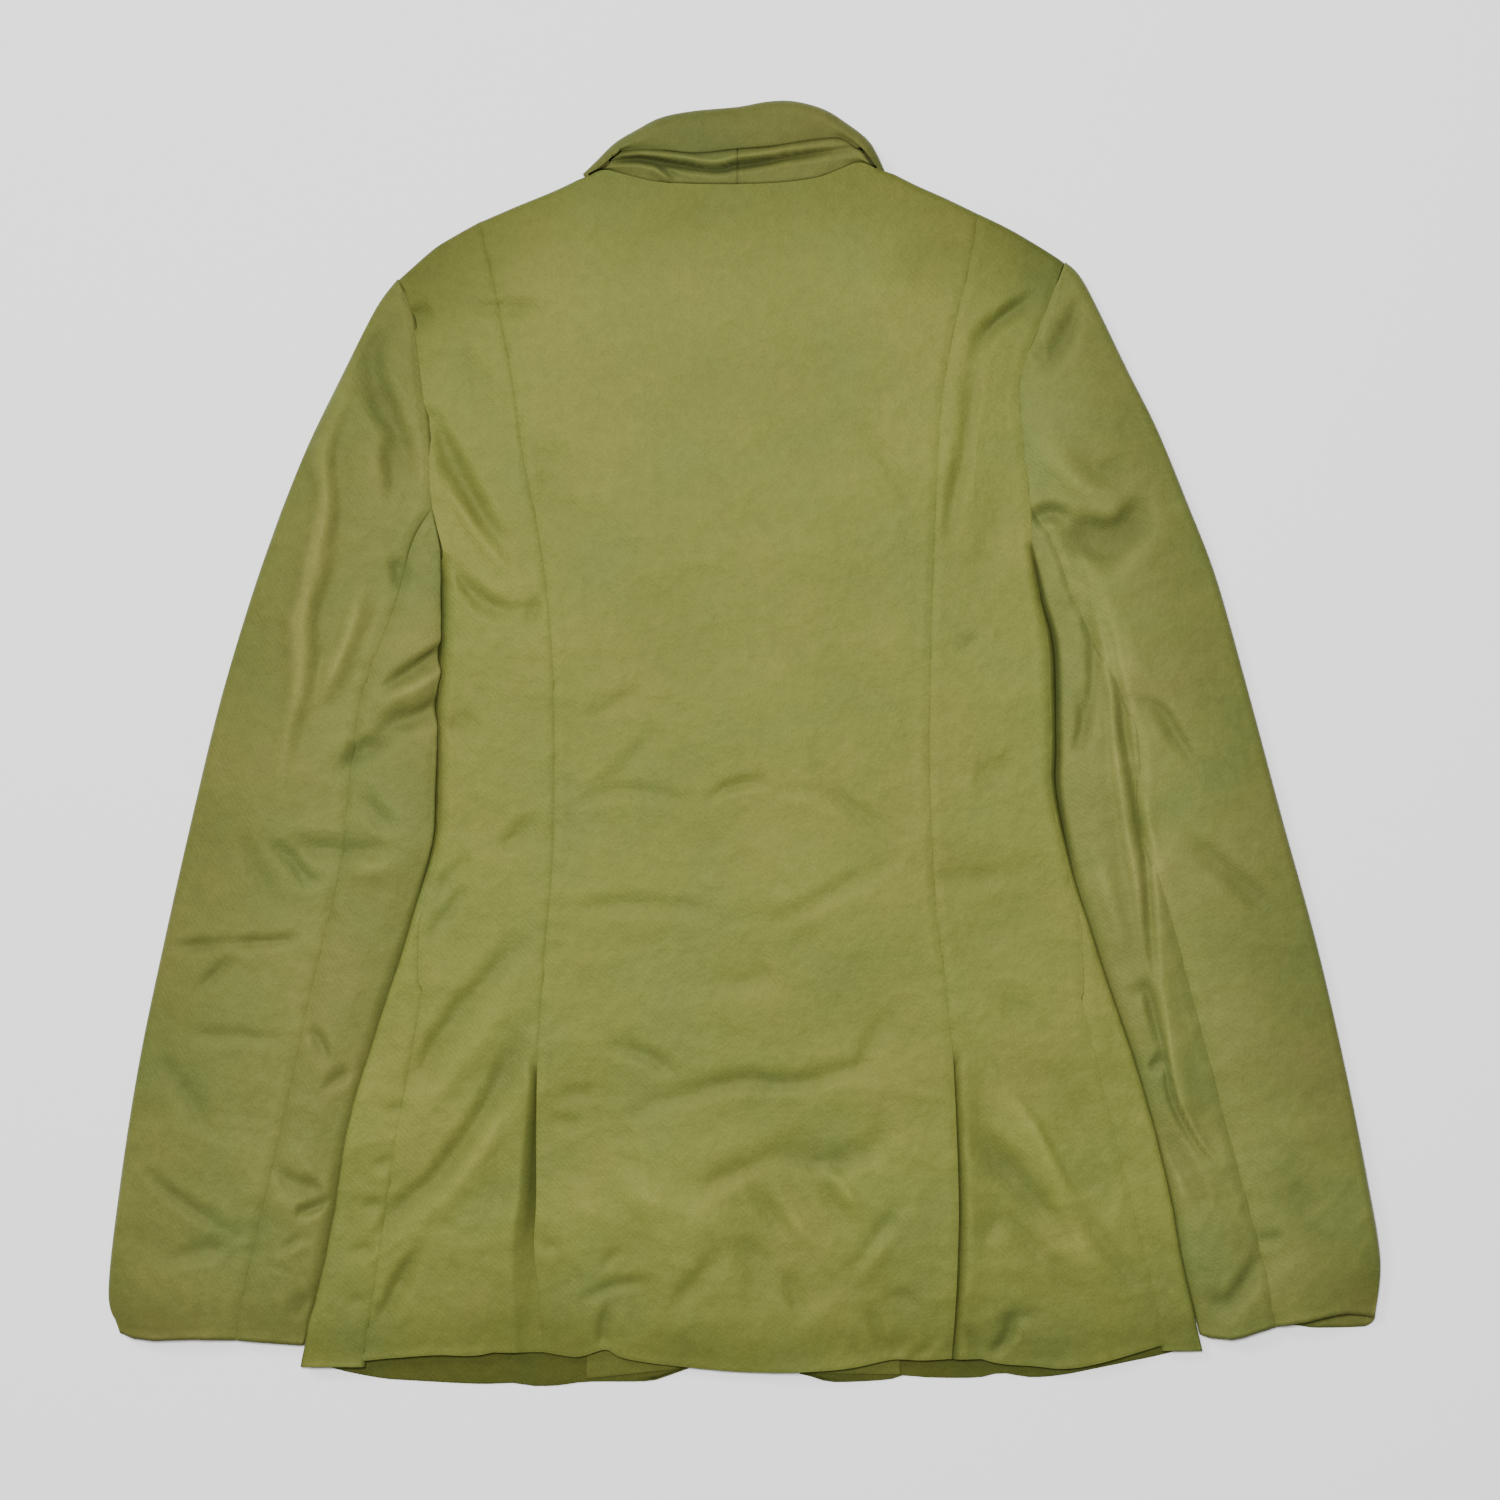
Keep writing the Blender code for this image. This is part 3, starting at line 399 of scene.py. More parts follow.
def with_marks(grid, crest, seams, painted_shade, extra_shade=0.0):
    """The grid with three more columns for its colour: its height, from which shade and highlight are
    painted, how near a seam is, and its painted shade. Shade is painted, darker and greener, where the height
    is less, or where it is made less for more painted shade."""
    height = crest * CREST_SHADING - extra_shade
    near = np.zeros(grid.shape[:2])
    for edge in seams:
        near = np.maximum(near, mound(from_edge(grid, edge), SEAM_DYE))
    painted_shade = painted_shade + np.zeros(grid.shape[:2])
    return np.concatenate([grid, height[..., None], near[..., None], painted_shade[..., None]], axis=-1)


def turned_under(grid, edge, radius=SEAM_TURN, inwards=-1.0):
    """The grid with its edge turned through a right angle towards the inside of the garment."""
    views = {
        "left": lambda sheet: sheet,
        "right": lambda sheet: sheet[:, ::-1],
        "top": lambda sheet: sheet.transpose(1, 0, 2),
        "bottom": lambda sheet: sheet[::-1].transpose(1, 0, 2),
    }
    sheet = views[edge](grid)
    outward = unit(sheet[:, 0, :2] - sheet[:, 1, :2])
    extra = []
    for degrees in (90, 60, 30):
        angle = math.radians(degrees)
        row = sheet[:, 0].copy()
        row[:, :2] += outward * radius * math.sin(angle)
        row[:, 2] += inwards * radius * (1 - math.cos(angle))
        extra.append(row)
    sheet = np.concatenate([np.stack(extra, 1), sheet], axis=1)
    return sheet.transpose(1, 0, 2)[::-1] if edge == "bottom" else views[edge](sheet)


def with_allowance(grid, edge="left"):
    """The grid with its left or right edge carried on as a seam allowance, just under the next piece."""
    sheet = grid if edge == "left" else grid[:, ::-1]
    row = sheet[:, 0].copy()
    row[:, :2] += unit(sheet[:, 0, :2] - sheet[:, 1, :2]) * ALLOWANCE
    row[:, 2] -= ALLOWANCE_DROP
    sheet = np.concatenate([row[:, None], sheet], axis=1)
    return sheet if edge == "left" else sheet[:, ::-1]


def cut_cloth(name, grid, material, flip=False, wall=CLOTH):
    """A piece of cloth from its grid of outer points, flipped where its rows run the other way round.
    The wall grows inwards from them."""
    rows, columns = grid.shape[:2]
    index = np.arange(rows * columns).reshape(rows, columns)
    faces = np.stack([index[1:, :-1], index[1:, 1:], index[:-1, 1:], index[:-1, :-1]], -1).reshape(-1, 4)
    if flip:
        faces = faces[:, ::-1]
    mesh = bpy.data.meshes.new(name)
    points = grid.reshape(-1, grid.shape[-1])
    mesh.from_pydata((points[:, :3] * MM).tolist(), [], faces.tolist())
    mesh.shade_smooth()
    for channel, word in enumerate(MARKS, 3):
        mark = mesh.attributes.new(word, "FLOAT", "POINT")
        mark.data.foreach_set("value", points[:, channel].astype(np.float32))
    piece = bpy.data.objects.new(name, mesh)
    bpy.context.scene.collection.objects.link(piece)
    solidify = piece.modifiers.new("Wall", "SOLIDIFY")
    solidify.thickness = wall * MM
    solidify.offset = -1
    mesh.materials.append(material)
    return piece


def linear(colour):
    """A hex colour as the linear values that a shader takes."""
    values = [int(colour[n : n + 2], 16) / 255 for n in (1, 3, 5)]
    return (*(v / 12.92 if v <= 0.04045 else ((v + 0.055) / 1.055) ** 2.4 for v in values), 1.0)


def add_node(tree, kind, settings=(), sockets=(), links=()):
    """A node with its settings, its socket values and its links from other nodes' outputs."""
    node = tree.nodes.new(kind)
    for word, value in settings:
        setattr(node, word, value)
    for socket, value in sockets:
        node.inputs[socket].default_value = value
    for socket, source in links:
        tree.links.new(source, node.inputs[socket])
    return node


def moved_range(tree, source, before, after):
    """The output of a node that moves a value from the range before to the range after."""
    sockets = zip(("From Min", "From Max", "To Min", "To Max"), (*before, *after))
    return add_node(tree, "ShaderNodeMapRange", sockets=sockets, links=[("Value", source)]).outputs[0]


def cotton_satin(name, olive, green, straw, turn=0.0):
    """Cotton satin, piece-dyed after sewing: the dye takes unevenly in broad clouds, from greener to strawy,
    with dark dye caught along the seams. Shade and highlight are painted into the colour as well: darker
    and greener in the hollows of the creases, a strawy painted highlight on their ridges, and the painted
    shade of its own mark, which lowers the specular too. The twill line of the weave is 0.5 mm apart,
    drawn at 1.1 mm so that it shows."""
    material = bpy.data.materials.new(name)
    material.use_nodes = True
    tree = material.node_tree
    shader = tree.nodes["Principled BSDF"]
    for socket, value in (
        ("Roughness", 0.52),
        ("Sheen Weight", 0.05),
        ("Sheen Roughness", 0.45),
        ("Sheen Tint", linear("#C9C79B")),
        ("Specular Tint", linear("#BCB774")),
    ):
        shader.inputs[socket].default_value = value
    place = add_node(tree, "ShaderNodeTexCoord").outputs["Object"]
    rotation = ("Rotation", (0, 0, math.radians(turn)))
    turned = add_node(tree, "ShaderNodeMapping", sockets=[rotation], links=[("Vector", place)])
    where = [("Vector", turned.outputs["Vector"])]
    clouds, mottle, flecks = (
        add_node(
            tree,
            "ShaderNodeTexNoise",
            sockets=[("Scale", scale), ("Detail", detail), ("Roughness", roughness)],
            links=where,
        ).outputs["Fac"]
        for scale, detail, roughness in ((13, 4, 0.55), (130, 6, 0.62), (900, 2, 0.5))
    )
    crest, seam, painted_shade = (
        add_node(tree, "ShaderNodeAttribute", [("attribute_name", word)]).outputs["Fac"] for word in MARKS
    )
    # The ramp's colour: random clouds of dye, moved towards green by the painted shade of the hollows and
    # towards straw by the painted highlight of the ridges.
    lean = add_node(
        tree, "ShaderNodeMath", [("operation", "MULTIPLY_ADD")], [(1, 0.4)], [(0, crest), (2, clouds)]
    )
    dye_and_shading = add_node(tree, "ShaderNodeValToRGB", links=[("Fac", lean.outputs[0])])
    ramp = dye_and_shading.color_ramp
    ramp.elements[0].position, ramp.elements[0].color = 0.22, linear(green)
    ramp.elements[1].position, ramp.elements[1].color = 0.8, linear(straw)
    ramp.elements.new(0.5).color = linear(olive)
    shade = moved_range(tree, mottle, (0.3, 0.7), (0.92, 1.08))
    # Darker or lighter: random mottle and flecks, dark dye along the seams, the painted shade, and the
    # painted shade and highlight of the creases.
    for factor in (
        moved_range(tree, flecks, (0.25, 0.75), (0.89, 1.11)),
        moved_range(tree, seam, (0, 1), (1.0, 0.97)),
        painted_shade,
        moved_range(tree, crest, (-0.3, 0.3), (0.72, 1.28)),
    ):
        multiply = add_node(
            tree, "ShaderNodeMath", [("operation", "MULTIPLY")], links=[(0, shade), (1, factor)]
        )
        shade = multiply.outputs[0]
    colour = add_node(
        tree,
        "ShaderNodeVectorMath",
        [("operation", "SCALE")],
        links=[(0, dye_and_shading.outputs["Color"]), ("Scale", shade)],
    )
    tree.links.new(colour.outputs[0], shader.inputs["Base Color"])
    # Where shade is painted, the specular is painted down with it.
    shine = moved_range(tree, painted_shade, (0.4, 1), (0.1, 0.42))
    tree.links.new(shine, shader.inputs["Specular IOR Level"])
    twill = add_node(
        tree,
        "ShaderNodeTexWave",
        [("wave_type", "BANDS"), ("bands_direction", "DIAGONAL")],
        [("Scale", 165), ("Distortion", 1.2), ("Detail", 2), ("Detail Scale", 2.0)],
        where,
    )
    weave = add_node(
        tree,
        "ShaderNodeBump",
        sockets=[("Strength", 0.45), ("Distance", 0.08 * MM)],
        links=[("Height", twill.outputs["Fac"])],
    )
    crumple = add_node(
        tree,
        "ShaderNodeBump",
        sockets=[("Strength", 0.5), ("Distance", 1.3 * MM)],
        links=[("Height", mottle), ("Normal", weave.outputs["Normal"])],
    )
    tree.links.new(crumple.outputs["Normal"], shader.inputs["Normal"])
    return material


def shoulder_turn(first, outwards, turned, middle, reach=MIDDLE):
    """Rows that carry a panel's first row out to the shoulder line and turn it over the fold there."""
    rows = []
    for degrees in (90, 75, 60, 45, 30, 15):
        angle = math.radians(degrees)
        row = first.copy()
        row[:, :2] += outwards * reach * math.sin(angle)
        height = middle + (first[:, 2] - middle) * math.cos(angle)
        row[:, 2] += (height - first[:, 2]) * turned
        rows.append(row)
    return np.stack(rows)


def panel_line(side):
    """The seam between centre back and side back, then the edge of the vent."""
    return np.vstack([spaced(PRINCESS[side], PRINCESS_ROWS), spaced(VENT[side], VENT_ROWS)[1:]])


def dropped_start(line, side):
    """The line with its first points eased in from the shoulder by the radius of the fold there."""
    pull = MIDDLE * ease(-np.arange(len(line)), -SHOULDER_ROWS, 0)[:, None]
    return line - np.array(SHOULDER_OUT[side]) * pull


def below_shoulders(places):
    """How far below the line of the shoulders places lie."""
    beyond_neck = np.maximum(np.abs(places[..., 0] - SHOULDER_MIDDLE) - NECK_REACH, 0)
    return SHOULDER_LEVEL - SHOULDER_SLOPE * beyond_neck - places[..., 1]


def shoulder_fade(places):
    """1 on the back and 0 along the shoulders, so that no crease reaches their fold."""
    return ease(below_shoulders(places), *CREASE_START)


def back_crest(places):
    """The height of the back's creases and waves."""
    return crease_height(places, BACK_CREASES) + rumple(places, BACK_WAVES)


def back_painted_shade(places):
    """Painted shade, darker along the shoulders, at their tips and towards the hems."""
    x, y = places[..., 0], places[..., 1]
    shoulders = eased_from(SHOULDER_SHADE, below_shoulders(places), *SHOULDER_SHADE_FADE)
    hem = eased_from(HEM_SHADE, y, *HEM_SHADE_FADE)
    tips = sum(mound(x, TIP_SHADE_SIZE[0], at=tip[0]) * mound(y, TIP_SHADE_SIZE[1], at=tip[1]) for tip in TIP.values())
    return shoulders * hem * (1 - (1 - TIP_SHADE) * tips)


shell = cotton_satin("garment-dyed cotton satin, back", "#5F642D", "#596331", "#666631")

left = dropped_start(panel_line("left"), "left") + (SEAM_EDGE, 0)
right = dropped_start(panel_line("right"), "right") - (SEAM_EDGE, 0)
neck = [spaced(NECK_HALF[side], NECK_COLUMNS) for side in ("left", "right")]
neck = np.vstack([neck[0], neck[1][1:]])
crown = [spaced(SHOULDER_INNER[side], SHOULDER_COLUMNS - 1) for side in ("left", "right")]
outwards = [[SHOULDER_OUT[side]] * SHOULDER_COLUMNS for side in ("left", "right")]
outwards = np.vstack([outwards[0], [(0.0, 1.0)] * len(neck), outwards[1]])
turned = np.repeat([1, 0, 1], [SHOULDER_COLUMNS, len(neck), SHOULDER_COLUMNS])
top = np.vstack([crown[0], neck, crown[1]]) - outwards * MIDDLE - (0, SEAM_HALF)
top[0], top[-1] = left[0], right[0]
bottom = spaced(HEM_CENTRE, len(top) - 1) + (0, SEAM_TURN)
bottom[0], bottom[-1] = left[-1], right[-1]
places = patch(top, bottom, left, right)
crest = back_crest(places) * shoulder_fade(places)
height = TOP + crest + seam_relief(places, "left", seed=2) + seam_relief(places, "right", seed=5)
height += hem_relief(places) - hem_sag(places)
# Painted shade along the shoulders and the hem.
grid = with_marks(np.dstack([places, height]), crest, ("left", "right", "bottom"), back_painted_shade(places))
grid = np.concatenate([shoulder_turn(grid[0], outwards, turned, MIDDLE + FOLD_HALF), grid])
for edge in ("left", "right", "bottom"):
    grid = turned_under(grid, edge)
centre_back = cut_cloth("cloth_back_centre", grid, shell)
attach(centre_back, "root")
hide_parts("back_centre")

# --- Side backs ------------------------------------------------------------------------------------
# A shaped panel on each side of the centre back, from the shoulder and the armhole to the hem, of the
# same cloth. Below the back seam each runs on under the centre back as the underlap of a vent, and its
# outer edge meets the front at the side seam, which lies a little inside the fold of the side.

SHOULDER_OUTER = {
    "left": ((-207.6, 278.4), (-187.8, 295.8), (-175, 304), (-159.6, 312.6)),
    "right": ((192.6, 288.6), (181.8, 295.8), (160, 308.5), (141.6, 317.5)),
}
ARMHOLE_BACK = {
    "left": ((-203.4, 271.2), (-199.2, 255), (-195.6, 231.6), (-192.6, 207), (-190, 183), (-188, 141)),
    "right": ((188, 277), (180, 256), (172.2, 237.6), (166.8, 219), (166, 200), (172, 141)),
}
UNDERARM = {"left": (-183.3, 110), "right": (173.5, 117)}
HEM_SIDE = {
    "left": ((-236, -371), (-210, -371.4), (-184, -372.6), (-161, -375.5), (-138, -373), (-127, -370)),
    "right": ((260, -362.4), (216, -374.5), (193, -378), (174, -376.2), (151, -373.8), (131, -367)),
}
# Columns: level, outermost edge, how far inside it the side seam lies.
SIDE = {
    "left": (
        (110, -183.3, 0.3), (62, -183.4, 0.8), (26, -186, 1.2), (-28, -186.6, 1.2), (-64, -189, 1.8),
        (-96, -197, 4.5), (-138, -208.5, 10.5), (-186, -224, 17), (-240, -238, 20.5),
        (-310, -251, 23.5), (-372, -266, 28),
    ),
    "right": (
        (117, 173.5, 0.3), (86, 179.5, 1.2), (56, 186.6, 2.4), (-1, 188, 2.4), (-28, 188, 2.4),
        (-64, 194.4, 3.0), (-94, 202, 4.8), (-154, 221.5, 12), (-208, 239.5, 16),
        (-262, 253, 16.5), (-312, 263, 14), (-364, 275, 13.8),
    ),
}
# Columns: level, how far the ridge beside the vent stands off the centre back's edge.
VENT_RIDGE = {
    "left": (
        (-190, 1.0), (-222, 3.2), (-243, 5.5), (-265, 7.5), (-290, 9.5), (-318, 11.5), (-342, 13),
        (-372, 14),
    ),
    "right": ((-184, 1.0), (-220, 2.0), (-274, 3.0), (-310, 3.0), (-340, 2.5), (-370, 2.0)),
}
# Columns: level, how far the upper half of the body's fold leans to +X there, the same for the sleeve's
# fold, how much nearer the sleeve lies than its own line.
SIDE_BY_SIDE = {
    "left": (
        (150, 0, 0, 2.3), (100, 4.5, 4.5, 2.3), (-50, 5, 5, 2.6), (-95, 0, 0, 3.6), (-150, -4, -4, 2.8),
        (-372, -4, -4, 2.6),
    ),
    "right": (
        (117, 0, 0, 3), (92, -1, 0.6, 4.2), (60, -2.2, 1.4, 4.6), (-20, -2.2, 1.4, 4.2), (-60, 0, 1.5, 3.6),
        (-110, 2.5, 3, 3), (-372, 3, 3.5, 2.6),
    ),
}
OUT = {"left": -1, "right": 1}  # the way outwards along X
SIDE_SEED = {"left": 31, "right": 47}
FOLD_REACH = 6.0  # how far in from the outermost line the fold of a side reaches
FOLD_ARC = math.pi / 2 * math.sqrt((FOLD_REACH**2 + MIDDLE**2) / 2)
STEEP_EDGE = SEAM_HALF + 0.6 * SEAM_TURN  # as SEAM_EDGE, but where the seam lies on the slope of the fold
LEAN_NEAR, LEAN_FAR = 7.0, 30.0  # the fold leans in full this near to its outermost line, and fades until
LEAN_LIMIT = 1.2
VALLEY = (2.0, 0.55)  # width and depth of the shade between the side and the sleeve
VALLEY_START = (-8, 12)  # distance below the underarm in which it sets in
VALLEY_TOP = (-1.5, 1.0)  # depth below the top in which it sets in
OPEN_VALLEY = 0.2  # share of it that is left where the sleeve lies away from the side, below these levels
OPEN_BELOW = (-100, -40)
CAP_ROWS = 58
CROWN_ROWS = 16
CROWN_POINTS = 30
UNDERARM_ROWS = 14
SKIRT_ROWS = PRINCESS_ROWS + VENT_ROWS - CAP_ROWS - UNDERARM_ROWS - 1
EDGE_COLUMNS = 10
EDGE_STRIP = 3.0  # the columns of the edge reach this far past the fold
SIDE_COLUMNS = 36
HEM_POINTS = 60
ARMHOLE_RISE = 0.8
VENT_DROP = 3.4
VENT_UNDERLAP = 20.0
VENT_START_ROWS = 6  # rows in which the sewn seam opens into the vent
# The columns beside the back seam: how far from it they lie where it is sewn, then below it, in the vent,
# how far from the ridge there, how much of the ridge's stand-off they follow, their height and the painted
# shadow in the vent.
SEWN_AT = (22, 17, 13, 9.5, 6.5, 4, 2.4, SEAM_EDGE)
LAPPED_AT = (16, 11, 7, 3.5, 0.6, -0.8, -6, -VENT_UNDERLAP)
RIDGE_SHARE = (1, 1, 1, 1, 1, 0.6, 0, 0)
LAPPED_HEIGHT = (0, 0.6, 1.3, 1.8, 1.0, -1.8, -VENT_DROP, -VENT_DROP)
LAPPED_SHADOW = (1, 1, 1, 0.97, 0.78, 0.42, 0.36, 0.36)
OPEN_VENT_SHADOW = 0.98  # the painted shadow, almost none, where the vent gapes: from this stand-off and this level down
OPEN_STAND_OFF = (3.5, 7)
OPEN_VENT = (262, 330)


def on_top(height):
    """1 where the cloth lies on top, 0 from the middle of a fold down."""
    return ease(height, MIDDLE, FLAT)


def fold_section(turn):
    """(inset, height) on the section of a fold at a distance round it: negative on the upper face."""
    angle = np.clip(turn / FOLD_ARC, -1, 1) * math.pi / 2
    beyond = np.maximum(np.abs(turn) - FOLD_ARC, 0)
    return FOLD_REACH * (1 - np.cos(angle)) + beyond, MIDDLE * (1 - np.sin(angle))


def fold_turn(inset):
    """The distance round the fold, on the upper face, of a line that lies inset from the edge."""
    angle = np.arccos(np.clip(1 - inset / FOLD_REACH, -1, 1))
    return -FOLD_ARC * angle / (math.pi / 2) - np.maximum(inset - FOLD_REACH, 0)


def fold_height(places, side, face=1.0):
    """The height of the upper face (1) or the lower one (-1) around the underarm, where a fold ends."""
    distance = np.linalg.norm(places - UNDERARM[side], axis=-1)
    angle = np.arccos(np.clip(1 - distance / FOLD_REACH, 0, 1))
    return MIDDLE * (1 + face * np.sin(angle))


def read_side(side, levels, column):
    """A column of SIDE at these levels."""
    line = smooth(SIDE[side])[::-1]
    return np.interp(levels, line[:, 0], line[:, column])


def beside(side, levels, column):
    """A column of SIDE_BY_SIDE at these levels."""
    rows = np.array(SIDE_BY_SIDE[side])
    return np.interp(-levels, -rows[:, 0], rows[:, column])


def from_fold(side, places):
    """How far places lie from the outermost line of a side."""
    return np.abs(places[..., 0] - read_side(side, places[..., 1], 1))


def leaned(side, places, height, column=1):
    """The places of a fold beside another one, with its upper half moved over its neighbour or away."""
    near = ease(-from_fold(side, places), -LEAN_FAR, -LEAN_NEAR)
    moved = places.copy()
    raised = np.clip((height - MIDDLE) / MIDDLE, -1, LEAN_LIMIT)
    moved[..., 0] += beside(side, places[..., 1], column) * near * raised
    return moved


def fold_shade(side, places, height):
    """The shade in the valley between the body's fold and the sleeve's."""
    level = places[..., 1]
    below = ease(UNDERARM[side][1] - level, *VALLEY_START) * eased_from(OPEN_VALLEY, level, *OPEN_BELOW)
    return 1 - mound(from_fold(side, places), *VALLEY) * below * ease(TOP - height, *VALLEY_TOP)


def armhole_line(side, armhole):
    """The armhole from the shoulder's tip down to the underarm, less the seam's edge."""
    cap = spaced(armhole, CAP_ROWS)
    shares = (np.arange(1, UNDERARM_ROWS) / UNDERARM_ROWS)[:, None]
    low = cap[-1] + (np.array(UNDERARM[side]) - cap[-1]) * shares
    start = np.array(TIP[side]) - np.array(SHOULDER_OUT[side]) * MIDDLE
    return np.vstack([start, cap, low]) - (OUT[side] * SEAM_EDGE, 0)


def crown_level(places, side):
    """The level of the shoulder's first row above or below each of the places."""
    crown = spaced(SHOULDER_OUTER[side], CROWN_POINTS) - np.array(SHOULDER_OUT[side]) * MIDDLE
    crown = crown[np.argsort(crown[:, 0])]
    return np.interp(places[..., 0], crown[:, 0], crown[:, 1])


def along_crown(places, side, fixed):
    """The places with their upper rows moved to follow the slope of the shoulder from the fixed column."""
    level = crown_level(places, side)
    moved = places.copy()
    fade = ease(-np.arange(len(places)), -CROWN_ROWS, 0)[:, None]
    moved[..., 1] += (level - level[:, [fixed]]) * fade
    return moved


def side_edge(side, armhole, strip, levels, turns, face=1.0):
    """(places, height) of a panel's edge: beside its armhole, then round the fold of the side below."""
    out, columns = OUT[side], turns.shape[1]
    insets = np.linspace(0, FOLD_REACH + strip, columns)
    cap_y = np.repeat(armhole[:, 1:], columns, axis=1)
    cap = np.stack([armhole[:, :1] - out * insets, cap_y], axis=-1)
    inset, skirt_height = fold_section(turns)
    skirt_x = read_side(side, levels, 1)[:, None] - out * inset
    skirt = np.stack([skirt_x, np.repeat(levels[:, None], columns, axis=1)], axis=-1)
    height = np.concatenate([fold_height(cap, side, face), skirt_height])
    return along_crown(np.concatenate([cap, skirt]), side, 0), height


def vent_edge(side):
    """(places, height, painted shadow, lapped) of the columns beside the back seam; lapped is 1 along the
    vent.
    """
    seam = dropped_start(panel_line(side), side)
    ridge = smooth(VENT_RIDGE[side])[::-1]
    stand_off = np.interp(seam[:, 1], ridge[:, 0], ridge[:, 1])[:, None]
    row = np.arange(len(seam))[:, None]
    lapped = ease(row, PRINCESS_ROWS - 1, PRINCESS_ROWS - 1 + VENT_START_ROWS)
    across = np.array(SEWN_AT) * (1 - lapped) + (stand_off * RIDGE_SHARE + LAPPED_AT) * lapped
    seam_y = np.repeat(seam[:, 1:], len(SEWN_AT), axis=1)
    places = np.stack([seam[:, :1] + OUT[side] * across, seam_y], axis=-1)
    open_end = ease(stand_off, *OPEN_STAND_OFF) * ease(-seam[:, 1:], *OPEN_VENT)
    painted_shade = LAPPED_SHADOW + (OPEN_VENT_SHADOW - np.array(LAPPED_SHADOW)) * open_end
    height = TOP + np.array(LAPPED_HEIGHT) * lapped
    return along_crown(places, side, -1), height, 1 + (painted_shade - 1) * lapped, lapped


def bowed(start, end, levels_at):
    """A straight row of places, bent as much as the levels along it leave the chord between their ends."""
    row = start + (end - start) * np.linspace(0, 1, SIDE_COLUMNS)[:, None]
    levels = levels_at(row)
    row[:, 1] += levels - np.linspace(levels[0], levels[-1], len(levels))
    return row


for side in OUT:
    levels = np.linspace(UNDERARM[side][1], HEM_SIDE[side][0][1] + SEAM_TURN, SKIRT_ROWS + 1)
    start = fold_turn(read_side(side, levels, 2) + STEEP_EDGE)
    end = np.minimum(start, -FOLD_ARC) - EDGE_STRIP
    turns = start[:, None] + (end - start)[:, None] * np.linspace(0, 1, EDGE_COLUMNS)
    armhole = armhole_line(side, ARMHOLE_BACK[side])
    edge_part, edge_height = side_edge(side, armhole, EDGE_STRIP, levels, turns)
    vent_part, vent_height, vent_shadow, lapped = vent_edge(side)
    outer, inner = edge_part[:, -1], vent_part[:, 0]
    hem = spaced(HEM_SIDE[side], HEM_POINTS) + (0, SEAM_TURN)
    hem = hem[np.argsort(hem[:, 0])]
    top = bowed(outer[0], inner[0], lambda row: crown_level(row, side))
    bottom = bowed(outer[-1], inner[-1], lambda row: np.interp(row[:, 0], hem[:, 0], hem[:, 1]))
    middle_part = patch(top, bottom, outer, inner)[:, 1:-1]
    middle_height = np.maximum(fold_height(middle_part, side), edge_height[:, -1:])
    places = np.concatenate([edge_part, middle_part, vent_part], axis=1)
    height = np.concatenate([edge_height, middle_height, vent_height], axis=1)
    # Painted shadow in the vent, beside and under the centre back's edge.
    shadow = np.ones_like(height)
    shadow[:, -len(SEWN_AT) :] = vent_shadow
    outer_edge, seam_edge = "left", "right"
    if side == "right":
        outer_edge, seam_edge = "right", "left"
        places, height, shadow = places[:, ::-1], height[:, ::-1], shadow[:, ::-1]
    flatness = on_top(height)
    crest = back_crest(places) * shoulder_fade(places) * flatness
    relief = hem_relief(places) + seam_relief(places, outer_edge, SIDE_SEED[side], ARMHOLE_RISE)
    height = height + crest + (relief - hem_sag(places)) * flatness
    height += seam_relief(places, seam_edge, SIDE_SEED[side] + 3) * (1 - lapped)
    # Painted shade along the shoulders and the hem, in the vent and in the valley beside the sleeve.
    painted_shade = back_painted_shade(places) * shadow * fold_shade(side, places, height)
    grid = np.dstack([leaned(side, places, height), height])
    grid = with_marks(grid, crest, (outer_edge, seam_edge, "bottom"), painted_shade)
    outwards = np.repeat([SHOULDER_OUT[side]], grid.shape[1], axis=0)
    fold = shoulder_turn(grid[0], outwards, np.ones(grid.shape[1]), MIDDLE + FOLD_HALF)
    grid = np.concatenate([fold, grid])
    grid = turned_under(turned_under(grid, outer_edge), "bottom")
    grid = with_allowance(grid, seam_edge)
    side_back = cut_cloth("cloth_side_back_" + side, grid, shell)
    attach(side_back, "root")
    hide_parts("side_back_" + side)

# --- Fronts ----------------------------------------------------------------------------------------
# The two fronts lie underneath, right over left as the jacket is worn, and come round the fold of each
# side to the side seam. Only their hems show from above, below the shorter back, with a rounded corner
# at the opening. They are plain on the hidden side.

ARMHOLE_FRONT = {
    "left": ((-201, 271), (-189, 250), (-181, 225), (-177, 200), (-179, 172), (-188, 143)),
    "right": ((186, 277), (173, 253), (163, 228), (159, 200), (164, 172), (176, 147)),
}
FRONT_EDGE_UPPER = {
    "left": ((-106.5, 329.5), (-104.5, 314), (-82, 290), (-47, 205), (-18.6, 110)),
    "right": ((100.5, 331.5), (95, 314), (76, 290), (46, 208), (18.6, 117)),
}
FRONT_EDGE_LOWER = {
    "left": (
        (-18.6, 110), (-1.4, 50), (10, 8), (10, -60), (10, -150),
        (5, -228), (-11, -310), (-23, -352), (-34, -376),
    ),
    "right": (
        (18.6, 117), (1.4, 50), (-10, 8), (-10, -60), (-10, -150),
        (-5, -228), (11, -310), (24, -355), (34, -379),
    ),
}
